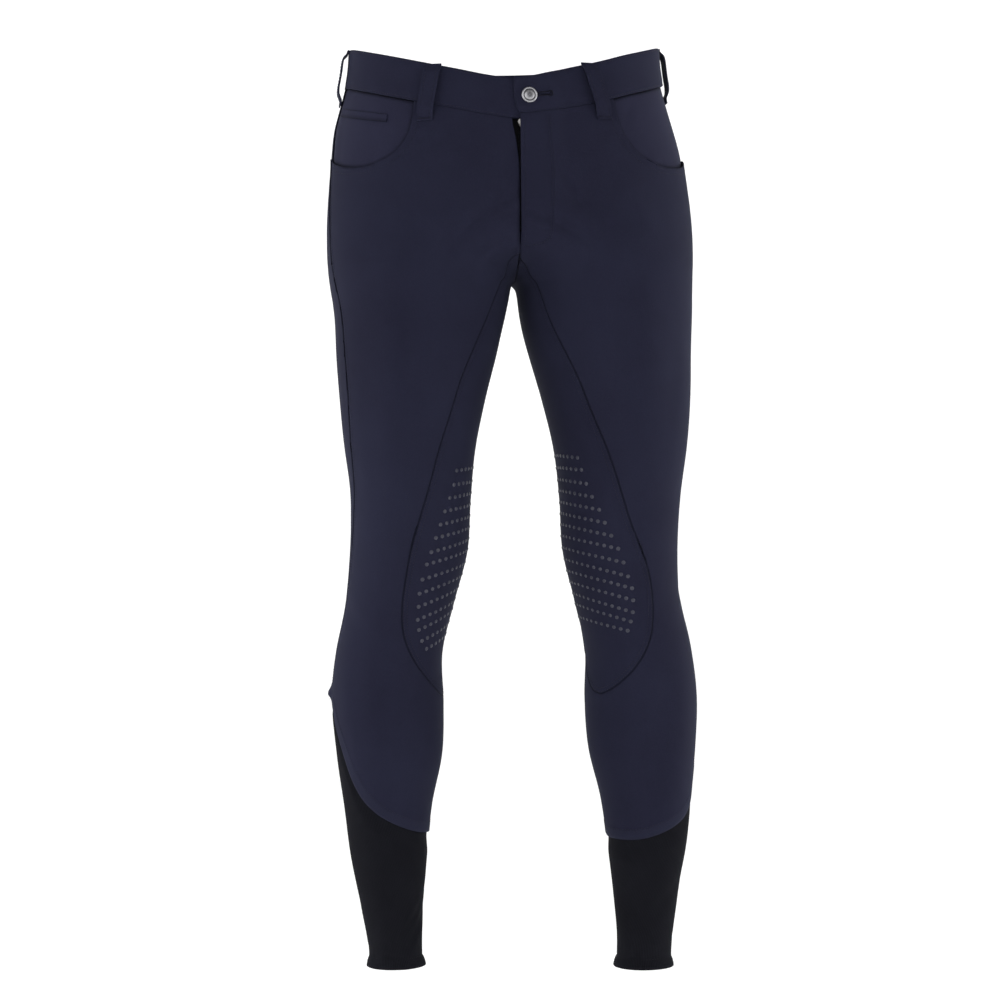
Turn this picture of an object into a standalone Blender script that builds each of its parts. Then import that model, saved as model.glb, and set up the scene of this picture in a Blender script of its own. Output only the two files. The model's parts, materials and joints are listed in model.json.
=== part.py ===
"""Riding breeches held up in their worn form: thin cloth walls, cut as a maker would cut them.

The frame is in metres with +Z up. The origin is the middle of the waist. The wearer faces -Y and
the wearer's left is +X. A place on the cloth is a pair: the turn, in degrees round one half from
the inseam by way of the front, and the level, its height. side is 1 for the wearer's left half.
"""

import math

import bmesh
import bpy
import numpy as np
from mathutils import Matrix, Vector

# ---- driving dimensions ------------------------------------------------------------------------

CLOTH = 0.0012  # wall of the technical stretch cloth
KNIT = 0.0012  # wall of the sock cuffs
SEAM_GAP = 0.0003  # left between pieces that are sewn together
TUCK = CLOTH + 0.0013  # how deep the outer face of a piece lies that is sewn on from behind

BAND_HEIGHT = 0.0422
BAND_WALL = 0.0026
BAND_PROUD = 0.0012  # how far the waistband stands out from the panels under it
BAND_UNDERLAP = 0.026  # reach of the right end under the left one, past the centre
BAND_OVERLAP = 0.006  # reach of the left end past the centre, at its top

LOOP_WIDTH = 0.0175
LOOP_WALL = 0.0016
LOOP_TURNS = ((119.2, 120.3), (113.6, 116.8))  # upper and lower end of the front loops, right and left
LOOP_END = 0.0019  # height of a loop's outer face where it is sewn down
FRONT_BOW, SIDE_BOW, BACK_BOW = 0.0050, 0.0058, 0.0076  # how far a loop's middle stands off the band

FLY_FLAT, FLY_FADE = 0.028, 0.022  # reach of the fly's full lift, and of its running out
BUTTON_X = 0.0099
BUTTON_LEVEL = -0.0385
SHANK_RADIUS = 0.0025
BUTTONHOLE_LENGTH = 0.0216
BUTTONHOLE_WIDTH = 0.0013
BUTTONHOLE_EYE = 0.0011

TAPE_WALL = 0.0009
TAPE_EDGES = (-0.014, 0.016)  # x of the tape's two edges
TAPE_LEVELS = (-0.0625, -0.182)
SLIDER_X = -0.0010
SLIDER_LEVEL = -0.0668
SLIDER_SIZE = (0.0090, 0.0043, 0.0085)
PULL_SIZE = (0.0046, 0.0011, 0.0150)

CROTCH = -0.2275
GUSSET_FRONT = -0.203  # level at which the inner panel's front line leaves the centre seam
GUSSET_BACK = -0.205
BESIDE_SCOOP = -0.112  # level at the centre of the line that crosses the front below the scoop
KNEE_SPLIT = -0.622  # level on the outseam of the line that crosses the front below the knee
ANKLE = -0.9715
ANKLE_DROP = 0.0060  # the left cuff ends this much lower than the middle value, the right one higher
CUFF_TUCK = 0.014  # how far a sock cuff reaches up behind the hem
CUFF_EASE = 0.022  # below the hem, how far down the cuff has come out to the full form
CUFF_FLARE = 0.0012  # the rolled edge at the ankle
HEM_DROP = 0.0070  # the same for the hem of the stretch cloth

# Rows from the waist down: level of the section, its side, the inner reach of one leg's oval
# (negative while the two halves run into each other), its front-most and back-most points, the
# place of its side, how square it is, and how softly the halves meet at the centre seam.
SECTION_NAMES = ("level", "outer", "inner", "front", "back", "side", "square", "fold")
SECTIONS = (
    (0.045, 0.1690, -0.1690, -0.1080, 0.1080, 0.000, 0.020, 0.000),
    (0.000, 0.1730, -0.1730, -0.1125, 0.1140, 0.000, 0.020, 0.000),
    (-0.036, 0.1815, -0.1815, -0.1165, 0.1200, 0.002, 0.020, 0.000),
    (-0.060, 0.1870, -0.1870, -0.1185, 0.1245, 0.003, 0.020, 0.000),
    (-0.090, 0.1915, -0.1925, -0.1200, 0.1300, 0.001, 0.020, 0.000),
    (-0.121, 0.1960, -0.1940, -0.1210, 0.1350, -0.006, 0.020, 0.006),
    (-0.141, 0.1980, -0.1550, -0.1212, 0.1370, -0.010, 0.018, 0.022),
    (-0.161, 0.1990, -0.1000, -0.1215, 0.1375, -0.013, 0.015, 0.030),
    (-0.181, 0.1992, -0.0600, -0.1215, 0.1350, -0.017, 0.012, 0.026),
    (-0.201, 0.1986, -0.0240, -0.1215, 0.1300, -0.021, 0.010, 0.014),
    (-0.211, 0.1980, -0.0095, -0.1213, 0.1260, -0.023, 0.010, 0.008),
    (-0.221, 0.1973, -0.0032, -0.1210, 0.1215, -0.024, 0.010, 0.002),
    (-0.2275, 0.1969, 0.0004, -0.1207, 0.1187, -0.0246, 0.010, 0.000),
    (-0.230, 0.1967, 0.0027, -0.1206, 0.1176, -0.0248, 0.010, 0.000),
    (-0.235, 0.1964, 0.0043, -0.1204, 0.1155, -0.0252, 0.010, 0.000),
    (-0.243, 0.1958, 0.0058, -0.1200, 0.1120, -0.026, 0.010, 0.000),
    (-0.256, 0.1951, 0.0080, -0.1194, 0.1062, -0.0272, 0.010, 0.000),
    (-0.270, 0.1943, 0.0107, -0.1187, 0.1004, -0.0283, 0.010, 0.000),
    (-0.298, 0.1926, 0.0172, -0.1170, 0.0900, -0.030, 0.010, 0.000),
    (-0.353, 0.1900, 0.0320, -0.1110, 0.0740, -0.031, 0.010, 0.000),
    (-0.408, 0.1856, 0.0440, -0.1040, 0.0610, -0.032, 0.008, 0.000),
    (-0.463, 0.1800, 0.0496, -0.0960, 0.0510, -0.030, 0.006, 0.000),
    (-0.518, 0.1792, 0.0530, -0.0870, 0.0460, -0.022, 0.004, 0.000),
    (-0.573, 0.1835, 0.0668, -0.0760, 0.0490, -0.010, 0.004, 0.000),
    (-0.628, 0.1955, 0.0797, -0.0670, 0.0580, -0.002, 0.004, 0.000),
    (-0.683, 0.2018, 0.0790, -0.0610, 0.0670, 0.000, 0.004, 0.000),
    (-0.738, 0.1985, 0.0818, -0.0590, 0.0640, -0.004, 0.004, 0.000),
    (-0.793, 0.1914, 0.0940, -0.0560, 0.0530, -0.006, 0.004, 0.000),
    (-0.848, 0.1842, 0.1006, -0.0510, 0.0410, -0.009, 0.004, 0.000),
    (-0.903, 0.1742, 0.1058, -0.0470, 0.0310, -0.012, 0.004, 0.000),
    (-0.947, 0.1671, 0.1082, -0.0450, 0.0230, -0.015, 0.004, 0.000),
    (-0.985, 0.1655, 0.1066, -0.0450, 0.0230, -0.015, 0.004, 0.000),
)

# The two legs aren't quite alike: level, how much wider the wearer's right and left sides are.
WIDER = (
    (0.045, 0.0000, 0.0000),
    (-0.030, 0.0006, 0.0000),
    (-0.055, 0.0016, 0.0015),
    (-0.085, 0.0008, 0.0042),
    (-0.130, -0.0006, 0.0028),
    (-0.175, 0.0000, 0.0026),
    (-0.2175, 0.0008, 0.0020),
    (-0.262, -0.0016, 0.0026),
    (-0.306, -0.0002, 0.0028),
    (-0.350, -0.0008, 0.0036),
    (-0.395, -0.0008, 0.0036),
    (-0.440, -0.0016, 0.0022),
    (-0.484, 0.0000, 0.0008),
    (-0.550, 0.0018, -0.0004),
    (-0.617, 0.0008, 0.0010),
    (-0.660, 0.0000, 0.0014),
    (-0.705, -0.0016, 0.0014),
    (-0.750, -0.0018, 0.0016),
    (-0.800, -0.0016, 0.0026),
    (-0.840, -0.0008, 0.0028),
    (-0.880, -0.0008, 0.0016),
    (-0.930, -0.0008, 0.0018),
    (-0.985, -0.0008, 0.0006),
)

# How far the middle of the front is drawn over to the wearer's right: level, distance, below 0.
SWAY = ((0.045, -0.0018), (-0.060, -0.0020), (-0.180, -0.0020), (-0.212, -0.0010), (-0.2275, 0.0))

# How far the crotch lies over to the wearer's left: level, distance.
OFF_CENTRE = (
    (0.045, 0.0),
    (-0.200, 0.0),
    (-0.215, 0.0010),
    (-0.2275, 0.0020),
    (-0.243, 0.0019),
    (-0.256, 0.0012),
    (-0.282, 0.0),
    (-0.310, 0.0),
    (-0.985, 0.0),
)

# How far a leg's seams are turned round it, alike on both legs as seen from above: level, degrees.
TWIST = (
    (0.045, -2.0),
    (-0.200, -2.0),
    (-0.255, -3.2),
    (-0.320, -3.2),
    (-0.395, -1.4),
    (-0.440, 0.0),
    (-0.500, 1.0),
    (-0.545, 5.0),
    (-0.600, 6.0),
    (-0.660, 9.0),
    (-0.720, 12.0),
    (-0.800, 16.0),
    (-0.985, 18.0),
)

# The seam under the waistband: turn, level on the wearer's right and on the wearer's left.
BAND_SEAM = (
    (80, -0.0586, -0.0540),
    (90, -0.0619, -0.0571),
    (100, -0.0580, -0.0533),
    (110, -0.0513, -0.0467),
    (120, -0.0447, -0.0392),
    (130, -0.0381, -0.0314),
    (140, -0.0318, -0.0250),
    (150, -0.0260, -0.0192),
    (160, -0.0206, -0.0141),
    (170, -0.0160, -0.0102),
    (180, -0.0132, -0.0083),
    (210, -0.0133, -0.0114),
    (240, -0.0165, -0.0162),
    (270, -0.0185, -0.0185),
    (280, -0.0186, -0.0186),
)
BAND_DIP = 0.0044, 0.0020  # how much lower the left waistband's top is at its front end and at the side

# The outseam: level, turn on the wearer's right, turn on the wearer's left.
OUTSEAM = (
    (0.000, 178.0, 181.0),
    (-0.090, 177.0, 180.0),
    (-0.150, 172.0, 179.0),
    (-0.207, 167.5, 178.0),
    (-0.247, 162.5, 177.0),
    (-0.292, 158.5, 176.0),
    (-0.336, 156.5, 176.0),
    (-0.398, 158.5, 177.0),
    (-0.446, 163.0, 180.0),
    (-0.486, 168.0, 184.0),
    (-0.540, 174.0, 191.0),
    (-0.600, 179.0, 203.0),
    (-0.678, 186.0, 218.0),
)

# The scoop of a front pocket, from the waistband to the outseam: turn, level.
SCOOP = (
    (123.3, -0.0415),
    (123.2, -0.0580),
    (125.0, -0.0780),
    (129.5, -0.0940),
    (135.5, -0.1030),
    (143.5, -0.1075),
    (155.0, -0.1055),
    (167.0, -0.0985),
    (178.0, -0.0900),
)

# The inner panel's front line, from the centre seam to its lowest point: turn, level.
FRONT_LINE = (
    (38.6, -0.211),
    (34.0, -0.221),
    (34.6, -0.231),
    (36.8, -0.241),
    (43.0, -0.271),
    (55.0, -0.325),
    (62.0, -0.371),
    (70.0, -0.410),
    (78.5, -0.446),
    (88.0, -0.483),
    (97.0, -0.515),
    (101.0, -0.545),
    (100.0, -0.575),
    (93.0, -0.602),
    (82.0, -0.624),
    (69.0, -0.643),
    (54.0, -0.659),
    (38.0, -0.671),
    (24.0, -0.676),
)

# Its rounded foot, on from the lowest point to the inseam: turn, level.
FOOT_LINE = ((24.0, -0.676), (12.0, -0.672), (0.0, -0.660), (-11.0, -0.643), (-20.0, -0.622))

# Its back line, from the centre seam to the inseam: turn, level.
BACK_LINE = (
    (-40.0, -0.245),
    (-42.0, -0.330),
    (-42.0, -0.410),
    (-40.0, -0.480),
    (-34.0, -0.550),
    (-26.0, -0.598),
    (-20.0, -0.622),
)

# The line that crosses the front below the knee, from the inner panel's lowest point: turn, level.
KNEE_LINE = ((24.0, -0.676), (50.0, -0.689), (85.0, -0.691), (125.0, -0.668), (180.0, KNEE_SPLIT))

# The hem of the stretch cloth, alike before and behind: degrees away from the outseam, level.
HEM = (
    (0, -0.6780),
    (10, -0.6920),
    (23, -0.7220),
    (32, -0.7420),
    (42, -0.7650),
    (54, -0.7840),
    (74, -0.8020),
    (97, -0.8140),
    (120, -0.8220),
    (150, -0.8275),
    (180, -0.8285),
)

# The fly's lift over the right front: level, lift.
FLY_LIFT = (
    (-0.040, 0.0036),
    (-0.062, 0.0036),
    (-0.090, 0.0030),
    (-0.130, 0.0022),
    (-0.178, 0.0020),
    (-0.204, 0.0000),
)

# Depth of the zip tape's outer face below the cloth's: level, depth.
TAPE_DEEP = ((-0.060, 0.0032), (-0.130, 0.0034), (-0.160, 0.0042), (-0.190, 0.0052))

# Edge of the right front beside the fly: level, distance from the centre.
RIGHT_EDGE = (
    (-0.050, 0.0085),
    (-0.066, 0.0078),
    (-0.085, 0.0042),
    (-0.105, 0.0017),
    (-0.180, 0.0011),
    (-0.200, 0.0000),
)

# The main folds. side 0 is both halves. turn and level give the middle; along and across are the
# half-length and half-width; lean is degrees from level, rising with the turn; depth is negative
# for a trough and positive for a ridge.
FOLD_NAMES = ("side", "turn", "level", "along", "across", "lean", "depth")
FOLDS = (
    (-1, 86, -0.160, 0.060, 0.008, 88, 0.0016),
    (-1, 88, -0.178, 0.050, 0.008, 84, -0.0024),
    (1, 86, -0.176, 0.030, 0.010, 86, -0.0020),
    (0, 308, -0.246, 0.060, 0.010, 12, -0.0030),
    (0, 302, -0.270, 0.070, 0.012, 22, -0.0026),
    (0, 286, -0.300, 0.055, 0.014, 30, -0.0018),
    (0, 262, -0.530, 0.045, 0.010, 6, -0.0026),
    (0, 284, -0.556, 0.052, 0.010, -8, -0.0030),
    (0, 268, -0.584, 0.040, 0.011, 10, -0.0020),
    (-1, 42, -0.925, 0.040, 0.007, -52, -0.0020),
    (1, 118, -0.900, 0.034, 0.008, 40, -0.0014),
    (0, 255, -0.880, 0.040, 0.009, 18, -0.0018),
)

# Front edge of the left waistband: height above its seam, distance past the centre.
BAND_EDGE = ((0.0, 0.0004), (0.0108, 0.0048), (0.0215, 0.0060), (0.0323, 0.0060), (0.0430, 0.0056))

# A belt loop from its upper end to its lower end: height above the waistband's seam, share of its
# bow, and whether the face under it is the waistband's (1) or the panel's (0).
LOOP_ROWS = (
    (0.0415, 0.00, 1),
    (0.0385, 0.04, 1),
    (0.0335, 0.74, 1),
    (0.0270, 0.96, 1),
    (0.0170, 1.00, 1),
    (0.0070, 1.00, 1),
    (0.0000, 0.95, 1),
    (-0.0070, 0.68, 1),
    (-0.0135, 0.12, 0),
    (-0.0188, 0.00, 0),
)

# The coin pocket's welt on the right facing: turn, level of its upper and of its lower edge.
WELT = (
    (135.5, -0.0532, -0.0618),
    (147.0, -0.0478, -0.0568),
    (160.0, -0.0418, -0.0506),
    (172.5, -0.0362, -0.0450),
)

# The button's profile from the middle of its face to the end of its shank: radius, height.
BUTTON_PROFILE = (
    (0.0000, 0.0026),
    (0.0035, 0.0024),
    (0.0056, 0.0019),
    (0.0061, 0.0016),
    (0.0067, 0.0019),
    (0.0078, 0.0018),
    (0.0085, 0.0010),
    (0.0081, 0.0003),
    (0.0070, 0.0000),
    (0.0025, 0.0000),
    (0.0025, -0.0027),
    (0.0000, -0.0027),
)

# Grid steps of the panels.
STEPS_SCOOP_DROP = 5
STEPS_BESIDE_SCOOP = 4
STEPS_CENTRE = 6
STEPS_THIGH = 22
STEPS_CALF = 9
STEPS_BAND_TO_SCOOP = 6
STEPS_SCOOP = 6
STEPS_FRONT = STEPS_BAND_TO_SCOOP + STEPS_SCOOP
STEPS_BACK = 12
STEPS_INNER = 8
STEPS_CUFF = (11, 24)

NAVY = (0.012, 0.016, 0.040)
BLACK_KNIT = (0.004, 0.005, 0.010)
GREY_METAL = (0.40, 0.40, 0.41)


# ---- the worn form -----------------------------------------------------------------------------


def smooth(places, values, at):
    """A cubic through the values, whose slope at each place comes from its neighbours."""
    order = np.argsort(places)
    x, y = np.asarray(places, float)[order], np.asarray(values, float)[order]
    slope = np.gradient(y, x)
    at = np.clip(at, x[0], x[-1])
    i = np.clip(np.searchsorted(x, at) - 1, 0, len(x) - 2)
    h = x[i + 1] - x[i]
    t = (at - x[i]) / h
    return (
        (2 * t**3 - 3 * t**2 + 1) * y[i]
        + (t**3 - 2 * t**2 + t) * h * slope[i]
        + (3 * t**2 - 2 * t**3) * y[i + 1]
        + (t**3 - t**2) * h * slope[i + 1]
    )


def along(rows, at, column=1):
    """The value of a table's column where its first column is at."""
    return smooth([row[0] for row in rows], [row[column] for row in rows], at)


def section(name, level):
    return along(SECTIONS, level, SECTION_NAMES.index(name))


def step(x):
    """0 below 0, 1 above 1 and a smooth rise between them."""
    x = np.clip(x, 0, 1)
    return x * x * (3 - 2 * x)


def turn_at(x, level):
    """The turn at which the front of one half lies x from the middle plane."""
    outer, inner, fold, square = (section(n, level) for n in ("outer", "inner", "fold", "square"))
    x = np.asarray(x)
    reach = np.sqrt(x**2 * (1 - (fold / outer) ** 2) + fold**2) * np.where(x < 0, -1, 1)
    want = np.clip(((outer + inner) / 2 - reach) / ((outer - inner) / 2), -1, 1)
    cosine = want
    for _ in range(8):
        cosine = want * (1 - square) / (1 + 3 * square - 4 * square * cosine**2)
    return np.where(want >= 1, 0.0, np.degrees(np.arccos(np.clip(cosine, -1, 1))))


def form(side, turn, level):
    """The outer face of the cloth."""
    turn, level = np.broadcast_arrays(np.asarray(turn, float), np.asarray(level, float))
    outer, inner, front, back, middle, square, fold = (section(n, level) for n in SECTION_NAMES[1:])
    angle = np.radians(turn)
    cosine = (np.cos(angle) - square * np.cos(3 * angle)) / (1 - square)
    sine = (np.sin(angle) + square * np.sin(3 * angle)) / (1 - square)
    reach = (outer + inner) / 2 - (outer - inner) / 2 * cosine
    x = np.sign(reach) * np.sqrt(np.maximum(reach**2 - fold**2, 0)) / np.sqrt(1 - (fold / outer) ** 2)
    x = side * (x + along(WIDER, level, 1 if side < 0 else 2) * step(-cosine))
    x = x + along(SWAY, level) * np.exp(-((x / 0.045) ** 2)) * np.maximum(sine, 0)
    x = x + along(OFF_CENTRE, level) * step(cosine)
    y = middle - np.where(sine > 0, middle - front, back - middle) * sine
    return np.stack([x, y, level], axis=-1)


def relief(side, turn, level):
    """How far the main folds lift or sink the cloth."""
    total = np.zeros(np.broadcast(turn, level).shape)
    for row in FOLDS:
        fold = dict(zip(FOLD_NAMES, row))
        if fold["side"] not in (0, side):
            continue
        girth = (section("outer", fold["level"]) - section("inner", fold["level"])) / 2
        away = (np.asarray(turn) - fold["turn"] + 180) % 360 - 180
        right, up = np.radians(away) * girth, level - fold["level"]
        lean = math.radians(fold["lean"])
        s = (right * math.cos(lean) + up * math.sin(lean)) / fold["along"]
        t = (up * math.cos(lean) - right * math.sin(lean)) / fold["across"]
        total = total + fold["depth"] * np.exp(-(s**2) * 1.5 - t**2)
    return total


def outward(side, turn, level):
    """The direction out of the cloth."""
    across = form(side, turn + 0.5, level) - form(side, turn - 0.5, level)
    down = form(side, turn, level - 0.002) - form(side, turn, level + 0.002)
    normal = side * np.cross(down, across)
    return normal / np.linalg.norm(normal, axis=-1, keepdims=True)


def skin(side, turn, level, lift=0.0):
    """Points of the cloth moved out by lift, and the directions in which they moved."""
    turn, level, lift = np.broadcast_arrays(np.asarray(turn, float), level, lift)
    normal = outward(side, turn, level)
    raised = lift + relief(side, turn, level)
    return form(side, turn, level) + raised[..., None] * normal, normal


def centred(x, level, lift, behind=False):
    """Like skin, but at distances across the middle plane, and without the folds."""
    x, level, lift = np.broadcast_arrays(np.asarray(x, float), level, lift)
    points, normals = np.empty(x.shape + (3,)), np.empty(x.shape + (3,))
    for side in (-1, 1):
        mine = x * side >= 0
        turn = turn_at(np.abs(x[mine]), level[mine])
        turn = 360 - turn if behind else turn
        normals[mine] = outward(side, turn, level[mine])
        points[mine] = form(side, turn, level[mine]) + lift[mine][:, None] * normals[mine]
    return points, normals


def twisted(side, turn, level):
    return turn + side * along(TWIST, level)


def outseam(side, level):
    return along(OUTSEAM, level, 1 if side < 0 else 2)


def hem_level(side, turn):
    """The hem's level, which arches up to the outseam."""
    away = np.abs((turn - outseam(side, OUTSEAM[-1][0]) + 180) % 360 - 180)
    return along(HEM, away) - side * HEM_DROP


# ---- lines on the cloth, as arrays of turn and level -------------------------------------------


def curve(rows):
    """A smooth line through a table's rows."""
    rows = np.asarray(rows, float)
    at = np.linspace(0, len(rows) - 1, 16 * (len(rows) - 1) + 1)
    return np.stack([smooth(range(len(rows)), rows[:, i], at) for i in (0, 1)], axis=-1)


def spaced(side, line, steps):
    """Points at even distances along a line on the cloth."""
    points = form(side, line[:, 0], line[:, 1])
    run = np.concatenate([[0], np.cumsum(np.linalg.norm(np.diff(points, axis=0), axis=1))])
    at = np.linspace(0, run[-1], steps + 1)
    return np.stack([np.interp(at, run, line[:, i]) for i in (0, 1)], axis=-1)


def joined(*lines):
    return np.concatenate([lines[0], *(line[1:] for line in lines[1:])])


def straight(a, b):
    return np.linspace(a, b, 40)


def turned(side, line):
    return np.stack([twisted(side, line[:, 0], line[:, 1]), line[:, 1]], axis=-1)


def band_seam(side, turn):
    return along(BAND_SEAM, turn, 1 if side < 0 else 2)


def band_line(side, start, end):
    turns = np.linspace(start, end, 60)
    return np.stack([turns, band_seam(side, turns)], axis=-1)


def centre_line(top, bottom, behind=False, edge=None):
    """The centre seam between two levels, or the right front's edge beside the fly."""
    levels = np.linspace(top, bottom, 200)
    x = along(edge, levels) if edge else np.zeros(len(levels))
    turns = turn_at(x, levels)
    return np.stack([360 - turns if behind else turns, levels], axis=-1)


def outseam_line(side, top, bottom):
    levels = np.linspace(top, bottom, 80)
    return np.stack([outseam(side, levels), levels], axis=-1)


def scoop_line(side):
    line = turned(side, curve(SCOOP))
    line[-1] = outseam(side, SCOOP[-1][1]), SCOOP[-1][1]
    return line


def front_line(side):
    start = [[float(turn_at(0, GUSSET_FRONT)) - side * float(along(TWIST, GUSSET_FRONT)), GUSSET_FRONT]]
    return turned(side, curve(start + [list(row) for row in FRONT_LINE]))


def back_line(side):
    start = [[-float(turn_at(0, GUSSET_BACK)) - side * float(along(TWIST, GUSSET_BACK)), GUSSET_BACK]]
    return turned(side, curve(start + [list(row) for row in BACK_LINE]))


def foot_line(side):
    return turned(side, curve(FOOT_LINE))


def inseam_line(side):
    top = FOOT_LINE[-1]
    foot = twisted(side, top[0], -0.83)
    bottom = (foot, float(hem_level(side, foot)))
    return straight((twisted(side, *top), top[1]), bottom)


def hem_line(side, start, end):
    turns = np.linspace(start, end, 200)
    return np.stack([turns, hem_level(side, turns)], axis=-1)


def arch(side):
    """The top of the hem's arch, on the outseam."""
    turn = outseam(side, OUTSEAM[-1][0])
    return float(turn), float(hem_level(side, turn))


# ---- meshes ------------------------------------------------------------------------------------


def patch(left, right, top, bottom):
    """A grid of turn and level spanned by its four sides."""
    t = np.linspace(0, 1, len(left))[:, None, None]
    s = np.linspace(0, 1, len(top))[None, :, None]
    left, right, top, bottom = left[:, None], right[:, None], top[None], bottom[None]
    corners = (
        (1 - s) * (1 - t) * top[:, :1]
        + s * (1 - t) * top[:, -1:]
        + (1 - s) * t * bottom[:, :1]
        + s * t * bottom[:, -1:]
    )
    return (1 - s) * left + s * right + (1 - t) * top + t * bottom - corners


def add_grid(mesh, outward, points, directions, flip):
    rows, columns = points.shape[:2]
    verts = [[mesh.verts.new(p) for p in row] for row in points]
    for r in range(rows):
        for c in range(columns):
            verts[r][c][outward] = directions[r, c]
    for r in range(rows - 1):
        for c in range(columns - 1):
            quad = [verts[r][c], verts[r + 1][c], verts[r + 1][c + 1], verts[r][c + 1]]
            mesh.faces.new(quad[::-1] if flip else quad)


def draw_in_edges(mesh, outward, gap, wall):
    """Moves each edge point into the cloth, so that pieces stay apart at a seam through their wall."""
    mesh.normal_update()
    moves = {}
    for vert in mesh.verts:
        if not vert.is_boundary:
            continue
        inward = []
        for edge in (e for e in vert.link_edges if e.is_boundary):
            run = (edge.other_vert(vert).co - vert.co).normalized()
            across = run.cross(vert[outward]).normalized()
            to_face = edge.link_faces[0].calc_center_median() - vert.co
            inward.append(across * math.copysign(1, across.dot(to_face)))
        both = (inward[0] + inward[1]) / max(0.3, 1 + inward[0].dot(inward[1]))
        lean = max(0, vert.normal.dot(both.normalized()))
        moves[vert] = both * (gap + lean * wall)
    for vert, move in moves.items():
        vert.co += move


def finish(name, mesh, material, collection):
    data = bpy.data.meshes.new(name)
    mesh.to_mesh(data)
    mesh.free()
    data.shade_smooth()
    if material:
        data.materials.append(material)
    piece = bpy.data.objects.new(name, data)
    collection.objects.link(piece)
    return piece


def cloth_piece(name, grids, side, material, collection, wall=CLOTH):
    """One piece of cloth from grids of points and outward directions, given its wall by Solidify."""
    mesh = bmesh.new()
    outward = mesh.verts.layers.float_vector.new("outward")
    for points, directions in grids:
        add_grid(mesh, outward, points, directions, side < 0)
    bmesh.ops.remove_doubles(mesh, verts=mesh.verts, dist=1e-6)
    draw_in_edges(mesh, outward, SEAM_GAP / 2, wall)
    piece = finish(name, mesh, material, collection)
    solidify = piece.modifiers.new("Wall", "SOLIDIFY")
    solidify.thickness = wall
    solidify.offset = -1
    return piece


def principled(name, colour, roughness, metallic=0.0):
    material = bpy.data.materials.new(name)
    material.use_nodes = True
    shader = material.node_tree.nodes["Principled BSDF"]
    shader.inputs["Base Color"].default_value = (*colour, 1)
    shader.inputs["Roughness"].default_value = roughness
    shader.inputs["Metallic"].default_value = metallic
    return material


# ---- the pieces --------------------------------------------------------------------------------


def side_name(side):
    return "left" if side > 0 else "right"


def front_lift(side, grid):
    """The fly stands over the right front, and the right front dips beside it."""
    x = np.abs(form(side, grid[..., 0], grid[..., 1])[..., 0])
    level = grid[..., 1]
    if side > 0:
        return along(FLY_LIFT, level) * (1 - step((x - FLY_FLAT) / FLY_FADE))
    return -0.3 * along(FLY_LIFT, level) * (1 - step(x / 0.020))


def front(side, material, collection):
    """The front runs from the centre seam and the inner panel to the outseam and down to the hem."""
    edge = RIGHT_EDGE if side < 0 else None
    start = float(turn_at(RIGHT_EDGE[0][1] if side < 0 else 0, -0.06))
    scoop = scoop_line(side)
    band = band_line(side, start, scoop[0, 0])
    scoop[0] = band[-1]
    corner = len(scoop) * 5 // 9
    beside, under = scoop[: corner + 1], scoop[corner:]
    centre = centre_line(band[0, 1], BESIDE_SCOOP, edge=edge)
    centre[0] = band[0]
    lower_centre = centre_line(BESIDE_SCOOP, GUSSET_FRONT, edge=edge)
    lower_centre[0] = centre[-1]
    across_top = straight(centre[-1], beside[-1])
    line, foot, inseam = front_line(side), foot_line(side), inseam_line(side)
    line[0] = lower_centre[-1]
    line[-1] = foot[0]
    foot[-1] = inseam[0]
    split = float(outseam(side, KNEE_SPLIT)), KNEE_SPLIT
    across_knee = turned(side, curve(KNEE_LINE))
    across_knee[0], across_knee[-1] = line[-1], split
    top_arch = arch(side)
    beside_pocket = patch(
        spaced(side, centre, STEPS_BESIDE_SCOOP),
        spaced(side, beside, STEPS_BESIDE_SCOOP),
        spaced(side, band, STEPS_BAND_TO_SCOOP),
        spaced(side, across_top, STEPS_BAND_TO_SCOOP),
    )
    thigh = patch(
        joined(spaced(side, lower_centre, STEPS_CENTRE), spaced(side, line, STEPS_THIGH)),
        spaced(side, outseam_line(side, scoop[-1, 1], KNEE_SPLIT), STEPS_CENTRE + STEPS_THIGH),
        joined(spaced(side, across_top, STEPS_BAND_TO_SCOOP), spaced(side, under, STEPS_SCOOP)),
        spaced(side, across_knee, STEPS_FRONT),
    )
    calf = patch(
        spaced(side, inseam, STEPS_CALF),
        spaced(side, outseam_line(side, KNEE_SPLIT, top_arch[1]), STEPS_CALF),
        joined(spaced(side, foot, STEPS_INNER)[::-1], spaced(side, across_knee, STEPS_FRONT)),
        spaced(side, hem_line(side, inseam[-1, 0], top_arch[0]), STEPS_INNER + STEPS_FRONT),
    )
    grids = [
        skin(side, grid[..., 0], grid[..., 1], front_lift(side, grid))
        for grid in (beside_pocket, thigh, calf)
    ]
    return cloth_piece(f"front_{side_name(side)}", grids, side, material, collection)


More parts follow.
